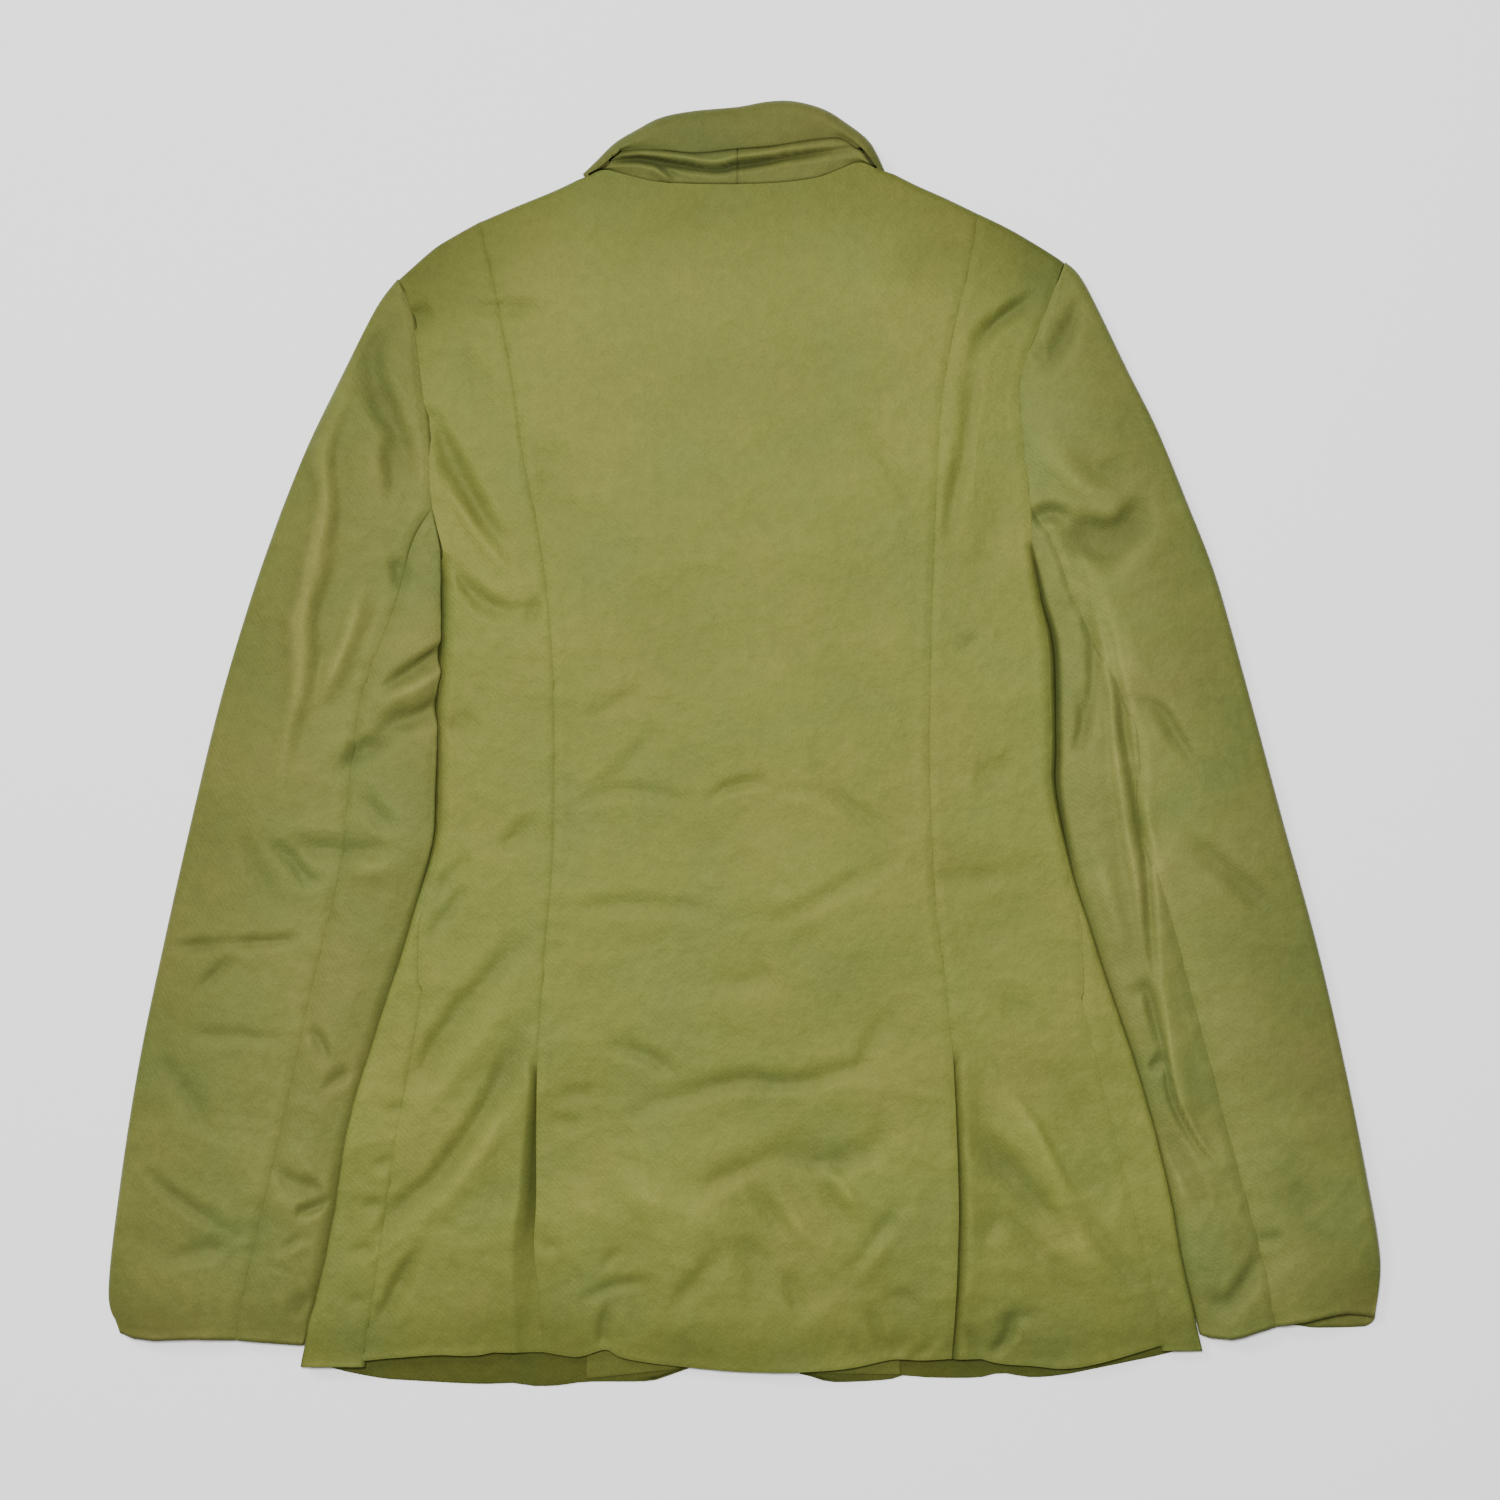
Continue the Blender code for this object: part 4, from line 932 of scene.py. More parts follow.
HEM_FRONT = {
    "left": (
        (-258, -373.5), (-221, -381), (-198, -383), (-159, -385), (-138, -384.5), (-128, -386.2),
        (-112, -386),
        (-94, -383.8), (-59, -383.5), (-48, -381), (-42, -379), (-34, -376),
    ),
    "right": (
        (266, -364), (211, -375.6), (191, -379.5), (172, -381), (154, -378.5), (140, -381.2), (112, -381.2),
        (94, -380), (86, -382.5), (54, -384), (43, -381.5), (34, -379),
    ),
}
UNDER_LIFT = 2.3  # how far the fronts are lifted by what lies under them
LAPEL_BELOW = (5, 14)  # distance below the shoulders, level and distance from the middle of the lapels
LAPEL_FROM = (52, 72)
LAPEL_TO = (-166, -146)
LAP_FROM = (-36, -16)  # place and levels of the right front's lap under the left one
LAP_HEM = (-300, -262)
LAP_TOP = (-120, -100)
SETTLED = (-1.5, 0)  # the lift fades out over this height where the front rises into its fold
UNDER_SHADOW = 0.55  # painted shadow on the lower layer, under the back, and the share of the rise to the top in which it fades
UNDER_SHADOW_FADE = (0, 0.6)
FRONT_STRIP = 6.0  # as EDGE_STRIP, beside the armhole, and below it underneath
UNDER_STRIP = 1.0
FRONT_SHOULDER = 3.0  # how far the front reaches into the fold of the shoulder
FRONT_TURN = 0.8  # radius at which the hidden edges turn in
LEAST_INSET = 0.05
FOLD_COLUMNS = 18
FRONT_COLUMNS = 34


def under_lift(side, places):
    """How far a front is lifted by the lapel, the collar or the other front under it."""
    x, y = places[..., 0], places[..., 1]
    lift = ease(y, *LAPEL_FROM) * ease(-np.abs(x), *LAPEL_TO) * ease(below_shoulders(places), *LAPEL_BELOW)
    if side == "left":
        lift = np.maximum(lift, ease(x, *LAP_FROM) * ease(y, *LAP_HEM) * ease(-y, *LAP_TOP))
    return UNDER_LIFT * lift


def joined(line, start, end):
    """The line with its first part bent to begin at start, and its last point at end."""
    line = line + (start - line[0]) * np.linspace(1, 0, len(line))[:, None] ** 3
    line[-1] = end
    return line


front_cloth = cotton_satin("garment-dyed cotton satin, fronts", "#5F642D", "#596331", "#666631")
for side in OUT:
    levels = np.linspace(UNDERARM[side][1], HEM_FRONT[side][0][1] + SEAM_TURN, SKIRT_ROWS + 1)
    start = fold_turn(np.maximum(read_side(side, levels, 2) - STEEP_EDGE, LEAST_INSET))
    turns = start[:, None] + (FOLD_ARC + UNDER_STRIP - start)[:, None] * np.linspace(0, 1, FOLD_COLUMNS)
    armhole = armhole_line(side, ARMHOLE_FRONT[side])
    edge_part, edge_height = side_edge(side, armhole, FRONT_STRIP, levels, turns, -1.0)
    outer = edge_part[:, -1]
    upper_edge = spaced(FRONT_EDGE_UPPER[side], len(outer) - 1 - SKIRT_ROWS)
    inner = np.vstack([upper_edge, spaced(FRONT_EDGE_LOWER[side], SKIRT_ROWS)[1:]])
    outward = np.array(SHOULDER_OUT[side])
    inner_points = SHOULDER_INNER[side][1:-1][:: -OUT[side]]
    crown = SHOULDER_OUTER[side] + inner_points + (tuple(inner[0] + outward * MIDDLE),)
    crown = joined(spaced(crown, FRONT_COLUMNS) - outward * MIDDLE, outer[0], inner[0])
    hem = joined(spaced(HEM_FRONT[side], FRONT_COLUMNS) + (0, SEAM_TURN), outer[-1], inner[-1])
    flat_part = patch(crown, hem, outer, inner)[:, 1:]
    places = np.concatenate([edge_part, flat_part], axis=1)
    height = np.concatenate([edge_height, np.zeros(flat_part.shape[:2])], axis=1)
    height += under_lift(side, places) * ease(-height, *SETTLED)
    above = on_top(height)
    crest = back_crest(places) * above
    relief = seam_relief(places, "left", SIDE_SEED[side], ARMHOLE_RISE) - hem_sag(places)
    height = height + crest + relief * above
    # Painted shade along the shoulders and the hem, painted shadow on the lower layer under the back, and the
    # shade in the valley beside the sleeve.
    painted_shade = back_painted_shade(places) * eased_from(UNDER_SHADOW, above, *UNDER_SHADOW_FADE) * fold_shade(side, places, height)
    grid = with_marks(np.dstack([leaned(side, places, height), height]), crest, ("left", "bottom"), painted_shade)
    outwards = np.repeat([outward], grid.shape[1], axis=0)
    fold = shoulder_turn(grid[0], outwards, np.ones(grid.shape[1]), MIDDLE - FOLD_HALF, FRONT_SHOULDER)
    grid = np.concatenate([fold, grid])
    for edge in ("bottom", "right"):
        grid = turned_under(grid, edge, FRONT_TURN, inwards=1.0)
    front = cut_cloth("cloth_front_" + side, with_allowance(grid), front_cloth, flip=side == "left")
    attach(front, "root")
    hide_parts("front_" + side)

# --- Sleeves ---------------------------------------------------------------------------------------
# Two-piece sleeves, set in smoothly. The top sleeve comes from the armhole and the back seam over the
# outer fold and back underneath. The under sleeve turns over the inner fold, from the back seam to the
# seam underneath. Both are the same cloth, and their cuffs are turned under.

SLEEVE_CAP = {
    "left": ((-208, 278.8), (-220.8, 261.6), (-240, 223.8), (-261.6, 179.4), (-277.8, 139.8)),
    "right": ((193, 289), (204.6, 276), (230.4, 223.8), (248.4, 187.8), (267.6, 141)),
}
SLEEVE_OUTER = {
    "left": (
        (-277.8, 139.8), (-295, 90.6), (-314.4, 25.8), (-331.8, -46), (-348, -118),
        (-363, -190), (-374.4, -262), (-381.8, -330), (-375, -350),
    ),
    "right": (
        (267.6, 141), (284, 97.8), (304.2, 25.8), (323.4, -46), (343.2, -118),
        (360, -190), (374.4, -262), (382.2, -311), (379, -347),
    ),
}
SLEEVE_BACK_SEAM = {
    "left": (
        (-188, 141), (-200.4, 121), (-210.6, 80), (-229.8, 27), (-238.6, -40),
        (-242.4, -76), (-260, -150), (-277.2, -230), (-298.8, -322), (-305.4, -356.6),
    ),
    "right": (
        (172, 141), (184.8, 121), (200.4, 80), (225.6, 32), (237, 0), (238.6, -48),
        (255, -100), (275.4, -176), (296.4, -255), (310.8, -307), (319.8, -349.5),
    ),
}
SLEEVE_INNER = {
    "left": (
        (-186.4, 110.5), (-186.6, 62), (-188.6, 26), (-189.4, -28), (-191.8, -64), (-199.8, -96),
        (-211.3, -138), (-226.8, -186), (-240.8, -240), (-253.8, -310), (-267.8, -359.6),
    ),
    "right": (
        (175.4, 118), (183, 86), (190.6, 56), (191.6, -1), (191.4, -28), (197.6, -64),
        (205.2, -94), (224.6, -154), (242.3, -208), (255.8, -262), (265.8, -312), (277.3, -354),
    ),
}
SLEEVE_FRONT_SEAM = {
    "left": (
        (-188, 143), (-197, 106), (-204, 60), (-208, 20), (-209, -28), (-212, -64), (-221, -100),
        (-232, -138), (-247, -186), (-260, -240), (-274, -310), (-287, -358.4),
    ),
    "right": (
        (176, 147), (188, 110), (200, 72), (209, 30), (210, -28), (216, -64), (226, -100),
        (244, -154), (261, -208), (275, -262), (285, -312), (297, -356),
    ),
}
SLEEVE_CREASES = {
    "left": (
        (2.8, 7, 6, (
            (-229, 260), (-242, 207), (-253, 173), (-251, 140), (-258, 110), (-265, 74), (-266, 39),
            (-274, 5), (-278, -22), (-280, -58),
        )),
        (1.8, 6, 5, ((-228, 101), (-232, 80), (-239, 59), (-251, 32), (-260, 17))),
        (-2.5, 7, 8, (
            (-203, 261), (-218, 242), (-222, 230), (-218, 207), (-209, 188), (-205, 173),
            (-203, 152), (-202, 131),
        )),
        (-1.1, 4, 5, ((-217, 183), (-211, 160), (-214, 139))),
        (-1, 4, 4, ((-211, 115), (-205, 91))),
        (-2.6, 6, 7, ((-224, 4), (-209, 12), (-197, 18), (-186, 24), (-176, 28))),
        (-1.9, 6, 6, ((-246, -21), (-233, -8), (-217, 0), (-209, 8))),
        (-2.4, 4, 6, ((-221, 26), (-203, 42), (-187, 55), (-175, 64))),
        (1.4, 5, 5, ((-221, 21), (-206, 32), (-190, 44), (-179, 52))),
        (-1.6, 4, 5, ((-288, -58), (-272, -68), (-261, -82), (-250, -85))),
        (-1.1, 6, 6, ((-284, -62), (-240, -64), (-202, -68))),
        (-1, 6, 6, ((-231, -27), (-220, -43), (-210, -57))),
        (1, 8, 8, ((-242, -74), (-221, -75), (-204, -71))),
        (-0.7, 6, 6, ((-304, -50), (-295, -71), (-274, -109))),
        (-0.9, 3, 4, ((-350, -123), (-326, -121), (-299, -119))),
        (-1.6, 3, 4, ((-313, -120), (-290, -119), (-275, -118), (-262, -115))),
        (-0.9, 4, 4, ((-335, -154), (-320, -142), (-304, -125))),
        (-0.6, 4, 4, ((-347, -172), (-313, -175), (-266, -179))),
        (-0.9, 7, 6, ((-358, -181), (-344, -196), (-334, -210), (-323, -229), (-312, -248))),
        (-0.9, 4, 4, ((-372, -246), (-356, -259), (-341, -272), (-317, -288), (-293, -301))),
        (-0.5, 10, 10, ((-376, -277), (-356, -301), (-323, -314))),
        (-1.3, 3, 5, ((-263, -169), (-254, -178), (-247, -194))),
        (-1, 4, 4, ((-256, -207), (-245, -204), (-230, -193))),
        (-1.4, 4, 4, ((-285, -251), (-272, -262), (-245, -266))),
        (-1, 4, 4, ((-282, -266), (-260, -270), (-244, -266))),
        (-2.2, 4, 4, ((-270, -283), (-256, -279), (-242, -273))),
        (-0.5, 3, 3, ((-281, -308), (-271, -301), (-259, -294))),
        (-0.6, 2.5, 3, ((-293, -316), (-283, -314), (-272, -318), (-262, -323))),
        (-0.6, 6, 6, ((-350, -314), (-326, -304), (-300, -303))),
        (-1.2, 5, 5, ((-267, -347), (-259, -327))),
        (-0.6, 4, 4, ((-355, -50), (-340, -50))),
    ),
    "right": (
        (-1.7, 5, 6, ((204, 271), (196, 251), (191, 239), (182, 226), (174, 218))),
        (-0.9, 5, 5, ((171, 233), (182, 236))),
        (-0.9, 8, 8, ((188, 176), (196, 171), (209, 163), (226, 161), (240, 165))),
        (1.3, 10, 10, ((173, 191), (190, 167), (211, 149), (229, 146))),
        (-2, 4, 5, ((169, 131), (178, 137), (188, 138), (199, 131))),
        (-4, 7, 11, ((191, 138), (200, 129), (216, 124), (226, 127), (233, 136), (242, 152))),
        (-1.8, 12, 14, ((194, 131), (214, 116), (234, 108))),
        (1.7, 20, 3.5, (
            (187, 149), (194, 136), (203, 119), (208, 99), (211, 81), (216, 59), (220, 38),
            (222, 20), (224, -10), (227, -32), (232, -65), (236, -83), (239, -111), (244, -138),
            (247, -163), (250, -190),
        )),
        (-2.2, 3, 5, (
            (208, 110), (214, 79), (224, 39), (229, 5), (234, -28), (241, -68), (244, -109),
            (248, -163), (252, -191),
        )),
        (-0.8, 4, 4, ((204, 88), (209, 52), (206, 20), (200, -13))),
        (-1.3, 4, 5, ((224, 27), (238, 25), (250, 20), (263, -1), (278, -21))),
        (-0.7, 4, 4, ((236, 8), (239, -51))),
        (-1.2, 6, 7, ((254, -49), (283, -71), (310, -94), (334, -109))),
        (-1.2, 5, 5, ((225, -158), (239, -148), (245, -166), (246, -191))),
        (-1.5, 6, 6, ((241, -188), (251, -196))),
        (1.8, 11, 1.6, (
            (237, -116), (246, -149), (253, -183), (258, -211), (271, -236), (288, -257),
            (299, -278),
        )),
        (-1.2, 1.6, 5, ((248, -142), (251, -166), (252, -185), (256, -212), (269, -238), (284, -259))),
        (-0.9, 6, 6, ((242, -206), (253, -238), (271, -274), (281, -301))),
        (-0.6, 5, 5, ((260, -206), (274, -232), (292, -261))),
        (-1.9, 5, 6, ((270, -326), (280, -332), (290, -332), (301, -322), (312, -303))),
        (-0.9, 4, 4, ((305, -299), (326, -296))),
        (-0.7, 10, 10, ((326, -247), (340, -286), (353, -313))),
        (1, 8, 8, ((208, -64), (218, -97), (227, -133))),
        (-1, 4, 4, ((197, 34), (202, 14), (196, -13))),
    ),
}
SLEEVE_SEED = {"left": 91, "right": 107}
SLEEVE_SLANT = 18.0  # degrees: the waves run along the sleeve
SLEEVE_CAP_ROWS = 60
SLEEVE_ROWS = 198
SLEEVE_FOLD_COLUMNS = 12
TOP_SLEEVE_COLUMNS = (42, 14)  # on top, underneath
UNDER_SLEEVE_COLUMNS = (22, 10)
SLEEVE_DOME = 2.4  # how far a sleeve rises between its seams where it is wide enough
DOME_WIDTH = (20, 60)
FOLD_SHARE = 0.45  # the fold takes no more of a narrow sleeve than this
OUTER_SLACK = 0.2  # how far the outer fold lies beyond its line
UNDERARM_SLIT = 0.3  # the under sleeve's seams start this far below the armhole
CUFF_SAG = HEM_SAG + 0.6
CUFF_LENGTH = 40.0  # how far up the sleeve the dip of its cuff reaches
CUFF_UNDER = 3.0  # the lower layer of the cuff ends this much higher, so that it stays hidden
CUFF_SHOWN = (-345, -325)  # but not at the right sleeve's outer corner
# Columns: x, how far the cuff dips there.
CUFF_DIP = {
    "left": (
        (-383, 0), (-378, 0.5), (-375, 4.5), (-367, 7), (-355, 7), (-330, 3.8), (-305, 2.2),
        (-268, 2.4),
    ),
    "right": ((272, 0.5), (279.6, 4), (291.6, 6), (300, 5.3), (310, 3), (320.4, 1), (331, 0), (345, 0)),
}
CORNER_RISE = 8.0  # the right cuff's outer corner is lifted this far on top, and dropped underneath
CORNER_DROP = -3.5
CORNER_FROM = (325, 378)
CORNER_BELOW = (300, 350)
SLEEVE_SHADE = (0.72, 0.92)  # the painted shade at the outer fold, beside the body, and where it changes
SLEEVE_SHADE_FADE = (5, 100)
CUFF_SHADE = 0.9  # the painted shade at the cuff, and the levels in which it changes
CUFF_SHADE_FADE = (-362, -290)
# The under sleeve's crest mark is lowered by this, so that more shade is painted on it, darker and greener.
UNDER_SLEEVE_EXTRA_SHADE = 0.1


def tube_part(start, fold, end, over, under):
    """(places, height, fade) of a flattened sleeve: over the top to its fold and back underneath."""
    across = np.linalg.norm(start - fold, axis=1)[:, None]
    back = np.linalg.norm(end - fold, axis=1)[:, None]
    top_way, low_way = (start - fold) / across, (end - fold) / back
    reach = np.minimum(FOLD_REACH, FOLD_SHARE * np.minimum(across, back))

    shares = np.linspace(1, 0, over + 1)[None, :-1]
    top_inset = reach + (across - reach) * shares
    top = fold[:, None] + top_way[:, None] * top_inset[..., None]
    top_height = TOP + SLEEVE_DOME * 4 * shares * (1 - shares) * ease(across, *DOME_WIDTH)

    angles = np.linspace(-math.pi / 2, math.pi / 2, SLEEVE_FOLD_COLUMNS)[None]
    share = (angles / math.pi + 0.5)[..., None]
    way = unit(top_way[:, None] * (1 - share) + low_way[:, None] * share)
    turn = fold[:, None] + way * (reach * (1 - np.cos(angles)))[..., None]
    turn_height = np.repeat(MIDDLE * (1 - np.sin(angles)), len(fold), axis=0)

    shares = np.linspace(0, 1, under + 1)[None, 1:]
    low_inset = reach + (back - reach) * shares
    low = fold[:, None] + low_way[:, None] * low_inset[..., None]
    low_height = np.zeros_like(low_inset)

    fade = np.concatenate([np.ones_like(top_inset), ease(turn_height, MIDDLE, TOP), low_height], 1)
    return np.concatenate([top, turn, low], 1), np.concatenate([top_height, turn_height, low_height], 1), fade


def cuff_dip(side, places, height):
    """How far the open cuff hangs below its straight line, less on the lower layer, which stays hidden."""
    dips = np.array(CUFF_DIP[side])
    dip = np.interp(places[..., 0], dips[:, 0], dips[:, 1])
    hidden = CUFF_UNDER * ease(MIDDLE - height, 0, MIDDLE) * ease(-places[..., 0], *CUFF_SHOWN)
    return (dip - hidden) * ease(-from_edge(places, "bottom"), -CUFF_LENGTH, 0)


def sleeve_surface(side, places, height, fade, seed):
    """(places, height, crest) of a sleeve's piece with its creases, its back seam and its open cuff."""
    waves = rumple(places, SLEEVE_SEED[side], SLEEVE_SLANT * OUT[side])
    crest = (crease_height(places, SLEEVE_CREASES[side]) + waves) * fade
    relief = seam_relief(places, "left", seed) + hem_relief(places) - hem_sag(places, CUFF_SAG)
    height = height + crest + relief * on_top(height)
    places = places.copy()
    places[..., 1] -= cuff_dip(side, places, height)
    return places, height, crest


def sleeve_painted_shade(side, places):
    """Painted shade, darker along the outer fold of a sleeve than beside the body, and at the cuff."""
    fold = smooth(SLEEVE_CAP[side][:-1] + SLEEVE_OUTER[side], 6)[::-1]
    inside = np.abs(places[..., 0] - np.interp(places[..., 1], fold[:, 1], fold[:, 0]))
    across = SLEEVE_SHADE[0] + (SLEEVE_SHADE[1] - SLEEVE_SHADE[0]) * ease(inside, *SLEEVE_SHADE_FADE)
    return across * eased_from(CUFF_SHADE, places[..., 1], *CUFF_SHADE_FADE)


sleeve_cloth = {
    "left": cotton_satin("garment-dyed cotton satin, left sleeve", "#626632", "#5C6634", "#6D6A38", 14),
    "right": cotton_satin("garment-dyed cotton satin, right sleeve", "#646934", "#5D6836", "#6C6B3A", -14),
}
for side, out in OUT.items():
    seam_edge = (out * SEAM_EDGE, 0)
    cap = [spaced(line[side], SLEEVE_CAP_ROWS) for line in (ARMHOLE_BACK, SLEEVE_CAP, ARMHOLE_FRONT)]
    low = [
        spaced(line[side], SLEEVE_ROWS)[1:] for line in (SLEEVE_BACK_SEAM, SLEEVE_OUTER, SLEEVE_FRONT_SEAM)
    ]
    start, fold, end = (np.vstack(lines) for lines in zip(cap, low))
    outermost = fold + (out * OUTER_SLACK, 0)
    tube = tube_part(start + seam_edge, outermost, end + seam_edge, *TOP_SLEEVE_COLUMNS)
    places, height, crest = sleeve_surface(side, *tube, SLEEVE_SEED[side])
    if side == "right":
        corner = ease(places[..., 0], *CORNER_FROM) * ease(-places[..., 1], *CORNER_BELOW)
        places[..., 1] += corner * np.interp(height, (0, TOP), (CORNER_DROP, CORNER_RISE))
    painted_shade = sleeve_painted_shade(side, places)
    grid = with_marks(np.dstack([places, height]), crest, ("left", "right", "bottom"), painted_shade)
    grid = with_allowance(turned_under(grid, "right", inwards=1.0))
    top_sleeve = cut_cloth("cloth_top_sleeve_" + side, grid, sleeve_cloth[side], flip=side == "left")
    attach(top_sleeve, "root")
    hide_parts("top_sleeve_" + side)

    lines = (SLEEVE_BACK_SEAM, SLEEVE_INNER, SLEEVE_FRONT_SEAM)
    start, fold, end = (spaced(line[side], SLEEVE_ROWS) for line in lines)
    for seam in (start, end):
        seam[1:] -= seam_edge
        seam[0, 1] -= UNDERARM_SLIT
    fold[:, 0] -= out * beside(side, fold[:, 1], 3)
    tube = tube_part(start, fold, end, *UNDER_SLEEVE_COLUMNS)
    places, height, crest = sleeve_surface(side, *tube, SLEEVE_SEED[side] + 5)
    painted_shade = sleeve_painted_shade(side, places) * fold_shade(side, places, height)
    grid = np.dstack([leaned(side, places, height, 2), height])
    grid = with_marks(grid, crest, ("left", "right", "bottom"), painted_shade, UNDER_SLEEVE_EXTRA_SHADE)
    grid = turned_under(turned_under(grid, "left"), "right", inwards=1.0)
    under_sleeve = cut_cloth("cloth_under_sleeve_" + side, grid, sleeve_cloth[side], flip=side == "right")
    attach(under_sleeve, "root")
    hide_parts("under_sleeve_" + side)

# --- Collar ----------------------------------------------------------------------------------------
# A turned collar of two layers. The fall lies on the back from its free edge to the roll line, goes
# round it and on underneath, to its front ends on the fronts. The stand below it is the under collar,
# in two halves with a seam at the centre back, and it has sunk into a soft fold.

FALL_TOP = 12.4
# Columns: free_x, free_y of the fall's edge, fold_x, fold_y where it turns, end_x, end_y underneath.
COLLAR = (
    (-92.5, 340.5, -97, 342, -118, 256),
    (-83.5, 346.5, -88.5, 350, -110, 253),
    (-76, 354.5, -77.4, 360.5, -98, 252),
    (-62, 356.7, -65, 368, -83, 255),
    (-46, 356.2, -50, 375.6, -70, 290),
    (-28, 354.8, -30, 379.6, -44, 326),
    (-4, 357.3, -4, 382, -10, 334.5),
    (14, 358.6, 14, 385.2, 12, 334.5),
    (30, 361, 30, 385.4, 30, 334.5),
    (44, 363, 48, 380.6, 52, 326),
    (58, 363.5, 62, 372, 64, 292),
    (68, 357.5, 73.6, 363, 76, 254),
    (72, 355, 79.5, 354.5, 95, 253),
    (80.5, 342.5, 84.5, 344, 116, 256),
)
COLLAR_CREASES = (
    (-3.4, 0.9, 2.8, (
        (-93, 342), (-87, 343.8), (-82, 347.4), (-74, 350.4), (-65, 351), (-53, 349.8), (-34, 346.8),
        (-22, 344.7), (-13, 345), (-5, 347.4), (14, 349.8), (28, 352.2), (48, 355.2), (62, 357),
        (68, 357), (75, 352.2),
    )),
    (1.6, 2.2, 2.8, (
        (-88, 346), (-82, 351), (-74, 354.4), (-65, 355), (-53, 353.8), (-34, 351), (-22, 348.9),
        (-13, 349.2), (-5, 351.4), (14, 354), (28, 356.6), (48, 359), (62, 360),
    )),
    (-1.6, 2, 3, ((-55, 352), (-46, 343), (-36, 339))),
    (1.0, 3, 3, ((-58, 347), (-49, 341), (-42, 337))),
    (-2.6, 0.9, 2.6, ((-80, 348.6), (-65, 351), (-53, 349.8), (-34, 346.8))),
    (-4.0, 1.8, 2.4, ((64, 360), (70, 359.4), (74.5, 355), (77, 348))),
)
COLLAR_WAVES = (1.6, 2.2)  # the collar's waves are this much shorter across and along than the back's
FALL_SAG = 1.6  # how far the free edge of the fall sinks
FALL_WAVE = 0.6
# Painted shade over the whole fall.
FALL_SHADE = 0.6
FALL_EDGE = 1.1  # radius at which the fall's free edge turns under
END_STATIONS = 14  # stations in which the fall sinks to its ends
END_TOP = 7.0
FALL_FLAT = FALL_TOP - 0.5  # from this height up the fall lies on top
COLLAR_STATIONS = 150
FALL_COLUMNS = 8
TURN_COLUMNS = 16
BELOW_COLUMNS = 14
STAND_STATIONS = 72
STAND_COLUMNS = 30
CENTRE_EDGE = SEAM_HALF + 0.8 * SEAM_TURN  # as SEAM_EDGE, at the seam between the halves
STAND_HIDDEN = 7.5  # how far short of the roll line the stand ends, inside the fall
LEAST_STAND = 0.12  # share of the way to the roll line that it keeps at its narrow ends
STAND_RISE = 1.5  # how far it rises from the neck seam, within this share of its width
RISE_SHARE = 0.5
STAND_WAVE = 0.4
STAND_SEAM_RISE = 0.56
# Painted shade over the whole stand.
STAND_SHADE = 0.68
HOLLOW_SHADE = 0.08  # how much darker the stand is for each unit of depth of its creases
EDGE_SHADE = (2.2, 0.5)  # width and depth of the fall's shade on the stand, and of the next two
NECK_SHADE = (0.9, 0.3)
CENTRE_SHADE = (0.9, 0.12)
collar_cloth = cotton_satin("garment-dyed cotton satin, collar", "#646835", "#5D6537", "#696938", turn=8)


def between(start, end, shares):
    """The places at these shares of the way from each point of start to that of end."""
    shares = shares[None, :, None]
    return start[:, None] * (1 - shares) + end[:, None] * shares


stations = spaced(COLLAR, COLLAR_STATIONS)
free, fold, end = stations[:, 0:2], stations[:, 2:4], stations[:, 4:6]
along = unit(np.gradient(fold, axis=0))
inward = np.stack([along[:, 1], -along[:, 0]], 1)
station = np.arange(len(stations))
whole = ease(np.minimum(station, station[::-1]), 0, END_STATIONS)[:, None]
top = END_TOP + (FALL_TOP - END_TOP) * whole
middle = top / 2
near = fold + inward * middle
shares = np.linspace(0, 1, FALL_COLUMNS + 1)[:-1]
fall = between(free, near, shares)
fall_height = top - FALL_SAG * (1 - shares) ** 2
angles = np.linspace(0, math.pi, TURN_COLUMNS)
turn = fold[:, None] + inward[:, None] * (middle * (1 - np.sin(angles)))[..., None]
turn_height = middle * (1 + np.cos(angles))
below = between(near, end, np.linspace(0, 1, BELOW_COLUMNS + 1)[1:])
places = np.concatenate([fall, turn, below], axis=1)
height = np.concatenate([fall_height, turn_height, np.zeros(below.shape[:2])], axis=1)
crest = rumple(places * COLLAR_WAVES, seed=151) * FALL_WAVE * ease(height, middle, FALL_FLAT)
# The whole fall gets the same painted shade.
grid = with_marks(np.dstack([places, height + crest]), crest, ("left",), FALL_SHADE)
collar = cut_cloth("cloth_collar_fall", turned_under(grid, "left", FALL_EDGE), collar_cloth)
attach(collar, "root")
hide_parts("collar_fall")

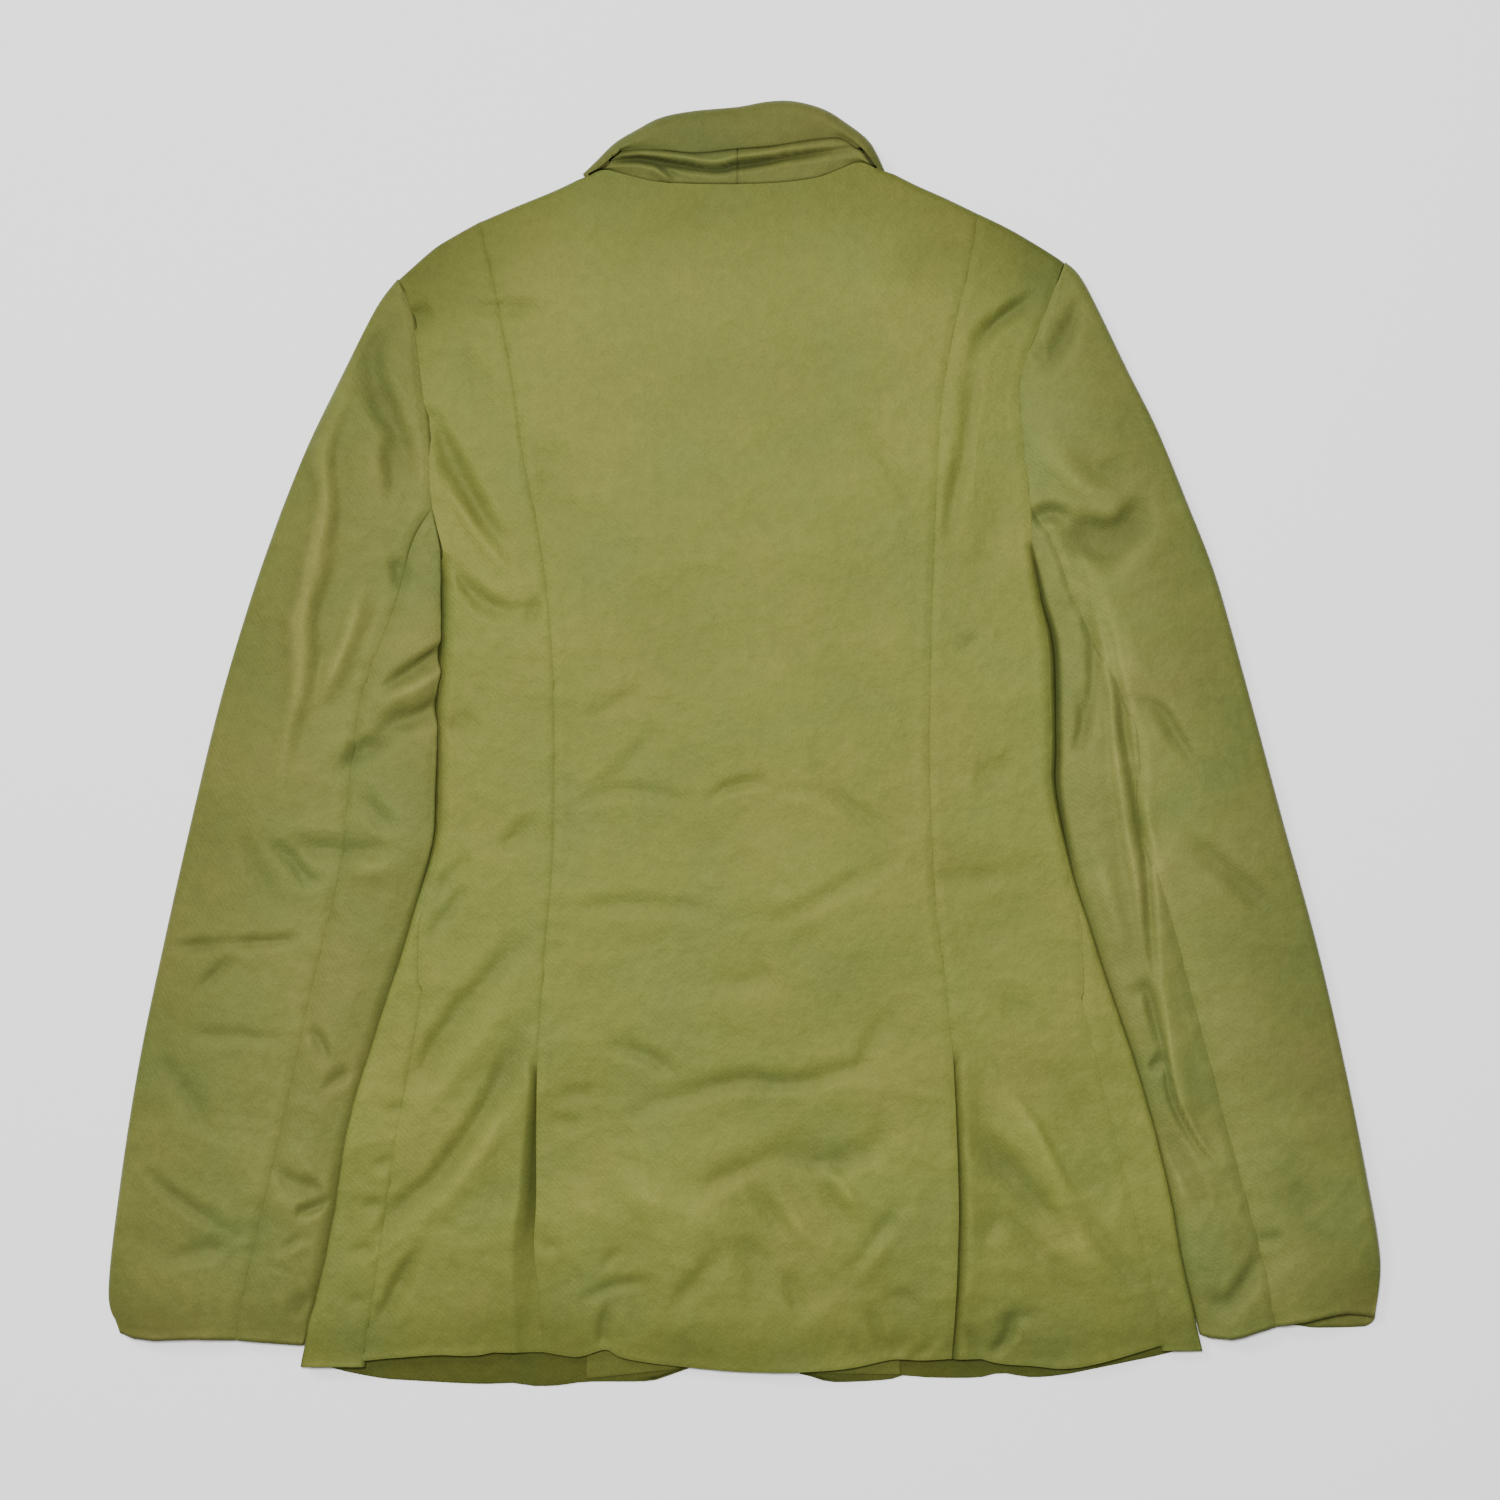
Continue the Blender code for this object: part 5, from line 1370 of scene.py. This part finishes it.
folds = spaced(stations[:, 2:4], 2 * STAND_STATIONS)
fold_half = {"left": folds[: STAND_STATIONS + 1], "right": folds[STAND_STATIONS:]}
centre = NECK[NECK_CENTRE][0]
for side, out in OUT.items():
    neck = spaced(NECK_HALF[side], STAND_STATIONS)
    size = np.linalg.norm(fold_half[side] - neck, axis=1)[:, None]
    reach = np.maximum(1 - STAND_HIDDEN / size, LEAST_STAND)
    shares = np.linspace(0, 1, STAND_COLUMNS)[None]
    low = neck + (0, SEAM_EDGE)
    places = low[:, None] + (fold_half[side] - low)[:, None] * (shares * reach)[..., None]
    places[..., 0] = centre + out * np.maximum(out * (places[..., 0] - centre), CENTRE_EDGE)
    crest = crease_height(places, COLLAR_CREASES) + rumple(places * COLLAR_WAVES, seed=171) * STAND_WAVE
    seam = seam_relief(places, "left", seed=181, rise=STAND_SEAM_RISE)
    height = TOP + STAND_RISE * ease(shares, 0, RISE_SHARE) + crest + seam
    below_edge = np.maximum(np.interp(places[..., 0], free[:, 0], free[:, 1]) - places[..., 1], 0)
    from_neck = np.linalg.norm(places - low[:, None], axis=2)
    # Painted shade on the stand, with the fall's painted shadow below its edge, dark lines along the neck
    # seam and the centre seam, and more painted shade in the hollows of the creases.
    painted_shade = STAND_SHADE - mound(below_edge, *EDGE_SHADE) - mound(from_neck, *NECK_SHADE)
    painted_shade = painted_shade * (1 + HOLLOW_SHADE * np.minimum(crest, 0)) - mound(places[..., 0], *CENTRE_SHADE, centre)
    centre_edge = "bottom" if side == "left" else "top"
    grid = with_marks(np.dstack([places, height]), crest, ("left", centre_edge), painted_shade)
    grid = turned_under(turned_under(grid, "left"), centre_edge)
    stand = cut_cloth("cloth_collar_stand_" + side, grid, collar_cloth)
    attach(stand, "root")
    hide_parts("collar_stand_" + side)

# --- Lapels and facings ----------------------------------------------------------------------------
# The front facings, of the same cloth. At the top they turn out as the lapels, which lie under the
# fronts. At the hem a strip of each shows inside the front, from its seam to the opening.

# Columns: roll_x, roll_y where the lapel turns, free_x, free_y of its outer edge.
LAPEL = (
    (67.5, 251, 139, 236), (57, 225, 131, 205), (44, 190, 112, 160), (31.5, 150, 84, 118),
    (20, 112, 48, 88), (11.5, 84, 20, 78),
)
# Columns: seam_x, seam_y of the facing's inner seam, edge_x, edge_y at the front's edge.
FACING = {
    "left": ((-93, -318, -15.5, -318), (-94, -350, -25, -350), (-94.5, -382, -42, -376.5)),
    "right": ((92, -318, 15.5, -318), (93, -350, 25, -350), (93.5, -379.5, 44, -379)),
}
LAPEL_ROWS, LAPEL_COLUMNS = 60, 24
FACING_ROWS, FACING_COLUMNS = 36, 30
# Painted shade on the lapels, under the fronts.
LAPEL_SHADE = 0.9
FACING_LIFT = CLOTH + 1.0  # outer face of the facing above the floor
FACING_CLOTH = 0.5
FACING_TURN = 0.5
FACING_WAVE = 0.15
# Painted shade on the facings, low below the back's hem.
FACING_SHADE = 0.6
for side, out in OUT.items():
    rows = spaced(LAPEL, LAPEL_ROWS)
    places = between(rows[:, :2], rows[:, 2:], np.linspace(0, 1, LAPEL_COLUMNS + 1)) * (out, 1)
    flat = np.zeros(places.shape[:2])
    grid = with_marks(np.dstack([places, flat]), flat, ("right",), LAPEL_SHADE)
    grid = turned_under(grid, "right", FRONT_TURN, inwards=1.0)
    lapel = cut_cloth("cloth_lapel_" + side, grid, front_cloth, flip=side == "right")
    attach(lapel, "root")
    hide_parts("lapel_" + side)

    rows = spaced(FACING[side], FACING_ROWS)
    places = between(rows[:, :2], rows[:, 2:], np.linspace(0, 1, FACING_COLUMNS + 1))
    crest = rumple(places, seed=201) * FACING_WAVE
    grid = np.dstack([places, FACING_LIFT + crest])
    grid = with_marks(grid, crest, ("left", "bottom"), FACING_SHADE)
    for edge in ("left", "right", "bottom"):
        grid = turned_under(grid, edge, FACING_TURN)
    facing = cut_cloth("cloth_facing_" + side, grid, front_cloth, side == "right", FACING_CLOTH)
    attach(facing, "root")
    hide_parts("facing_" + side)

# --- Floor, light and camera -----------------------------------------------------------------------
# A plain pale sheet of paper below, a soft light nearly straight above the jacket, a wider one far off at
# its top left, which reaches it more weakly and draws the creases, and a camera straight above whose frame
# is 900 mm square.

FLOOR_SIZE = 8.0
FRAME = 900.0
SENSOR = 36.0
CAMERA_HEIGHT = 2600.0
CAMERA_AT = (3.6, -4.2)
WORLD_LIGHT = 0.22
# Columns: name, place and size in metres, power in watts.
LIGHTS = (
    ("key", (-0.3, 0.6, 3.3), 0.9, 180),
    ("side", (-5.6, 5.2, 4.6), 2.6, 450),
)
bpy.ops.object.select_all(action="DESELECT")
bpy.ops.mesh.primitive_plane_add(size=FLOOR_SIZE, location=(0, 0, 0))
floor = bpy.context.object
floor.name = "paper_floor"
paper = bpy.data.materials.new("matt white paper")
paper.use_nodes = True
paper.node_tree.nodes["Principled BSDF"].inputs["Base Color"].default_value = linear("#F4F4F4")
paper.node_tree.nodes["Principled BSDF"].inputs["Roughness"].default_value = 0.9
floor.data.materials.append(paper)

for name, place, size, watts in LIGHTS:
    lamp = bpy.data.lights.new(name, "AREA")
    lamp.size = size
    lamp.energy = watts
    light = bpy.data.objects.new(name, lamp)
    light.location = place
    x, y, z = place
    light.rotation_euler = (math.atan2(math.hypot(x, y), z), 0, math.atan2(x, -y))  # towards the jacket
    bpy.context.scene.collection.objects.link(light)

world = bpy.data.worlds.new("studio")
world.use_nodes = True
world.node_tree.nodes["Background"].inputs["Color"].default_value = (1, 1, 1, 1)
world.node_tree.nodes["Background"].inputs["Strength"].default_value = WORLD_LIGHT
bpy.context.scene.world = world

lens = bpy.data.cameras.new("overhead")
lens.sensor_width = SENSOR
lens.lens = SENSOR * (CAMERA_HEIGHT - TOP) / FRAME
camera = bpy.data.objects.new("overhead", lens)
camera.location = (CAMERA_AT[0] * MM, CAMERA_AT[1] * MM, CAMERA_HEIGHT * MM)
bpy.context.scene.collection.objects.link(camera)
bpy.context.scene.camera = camera
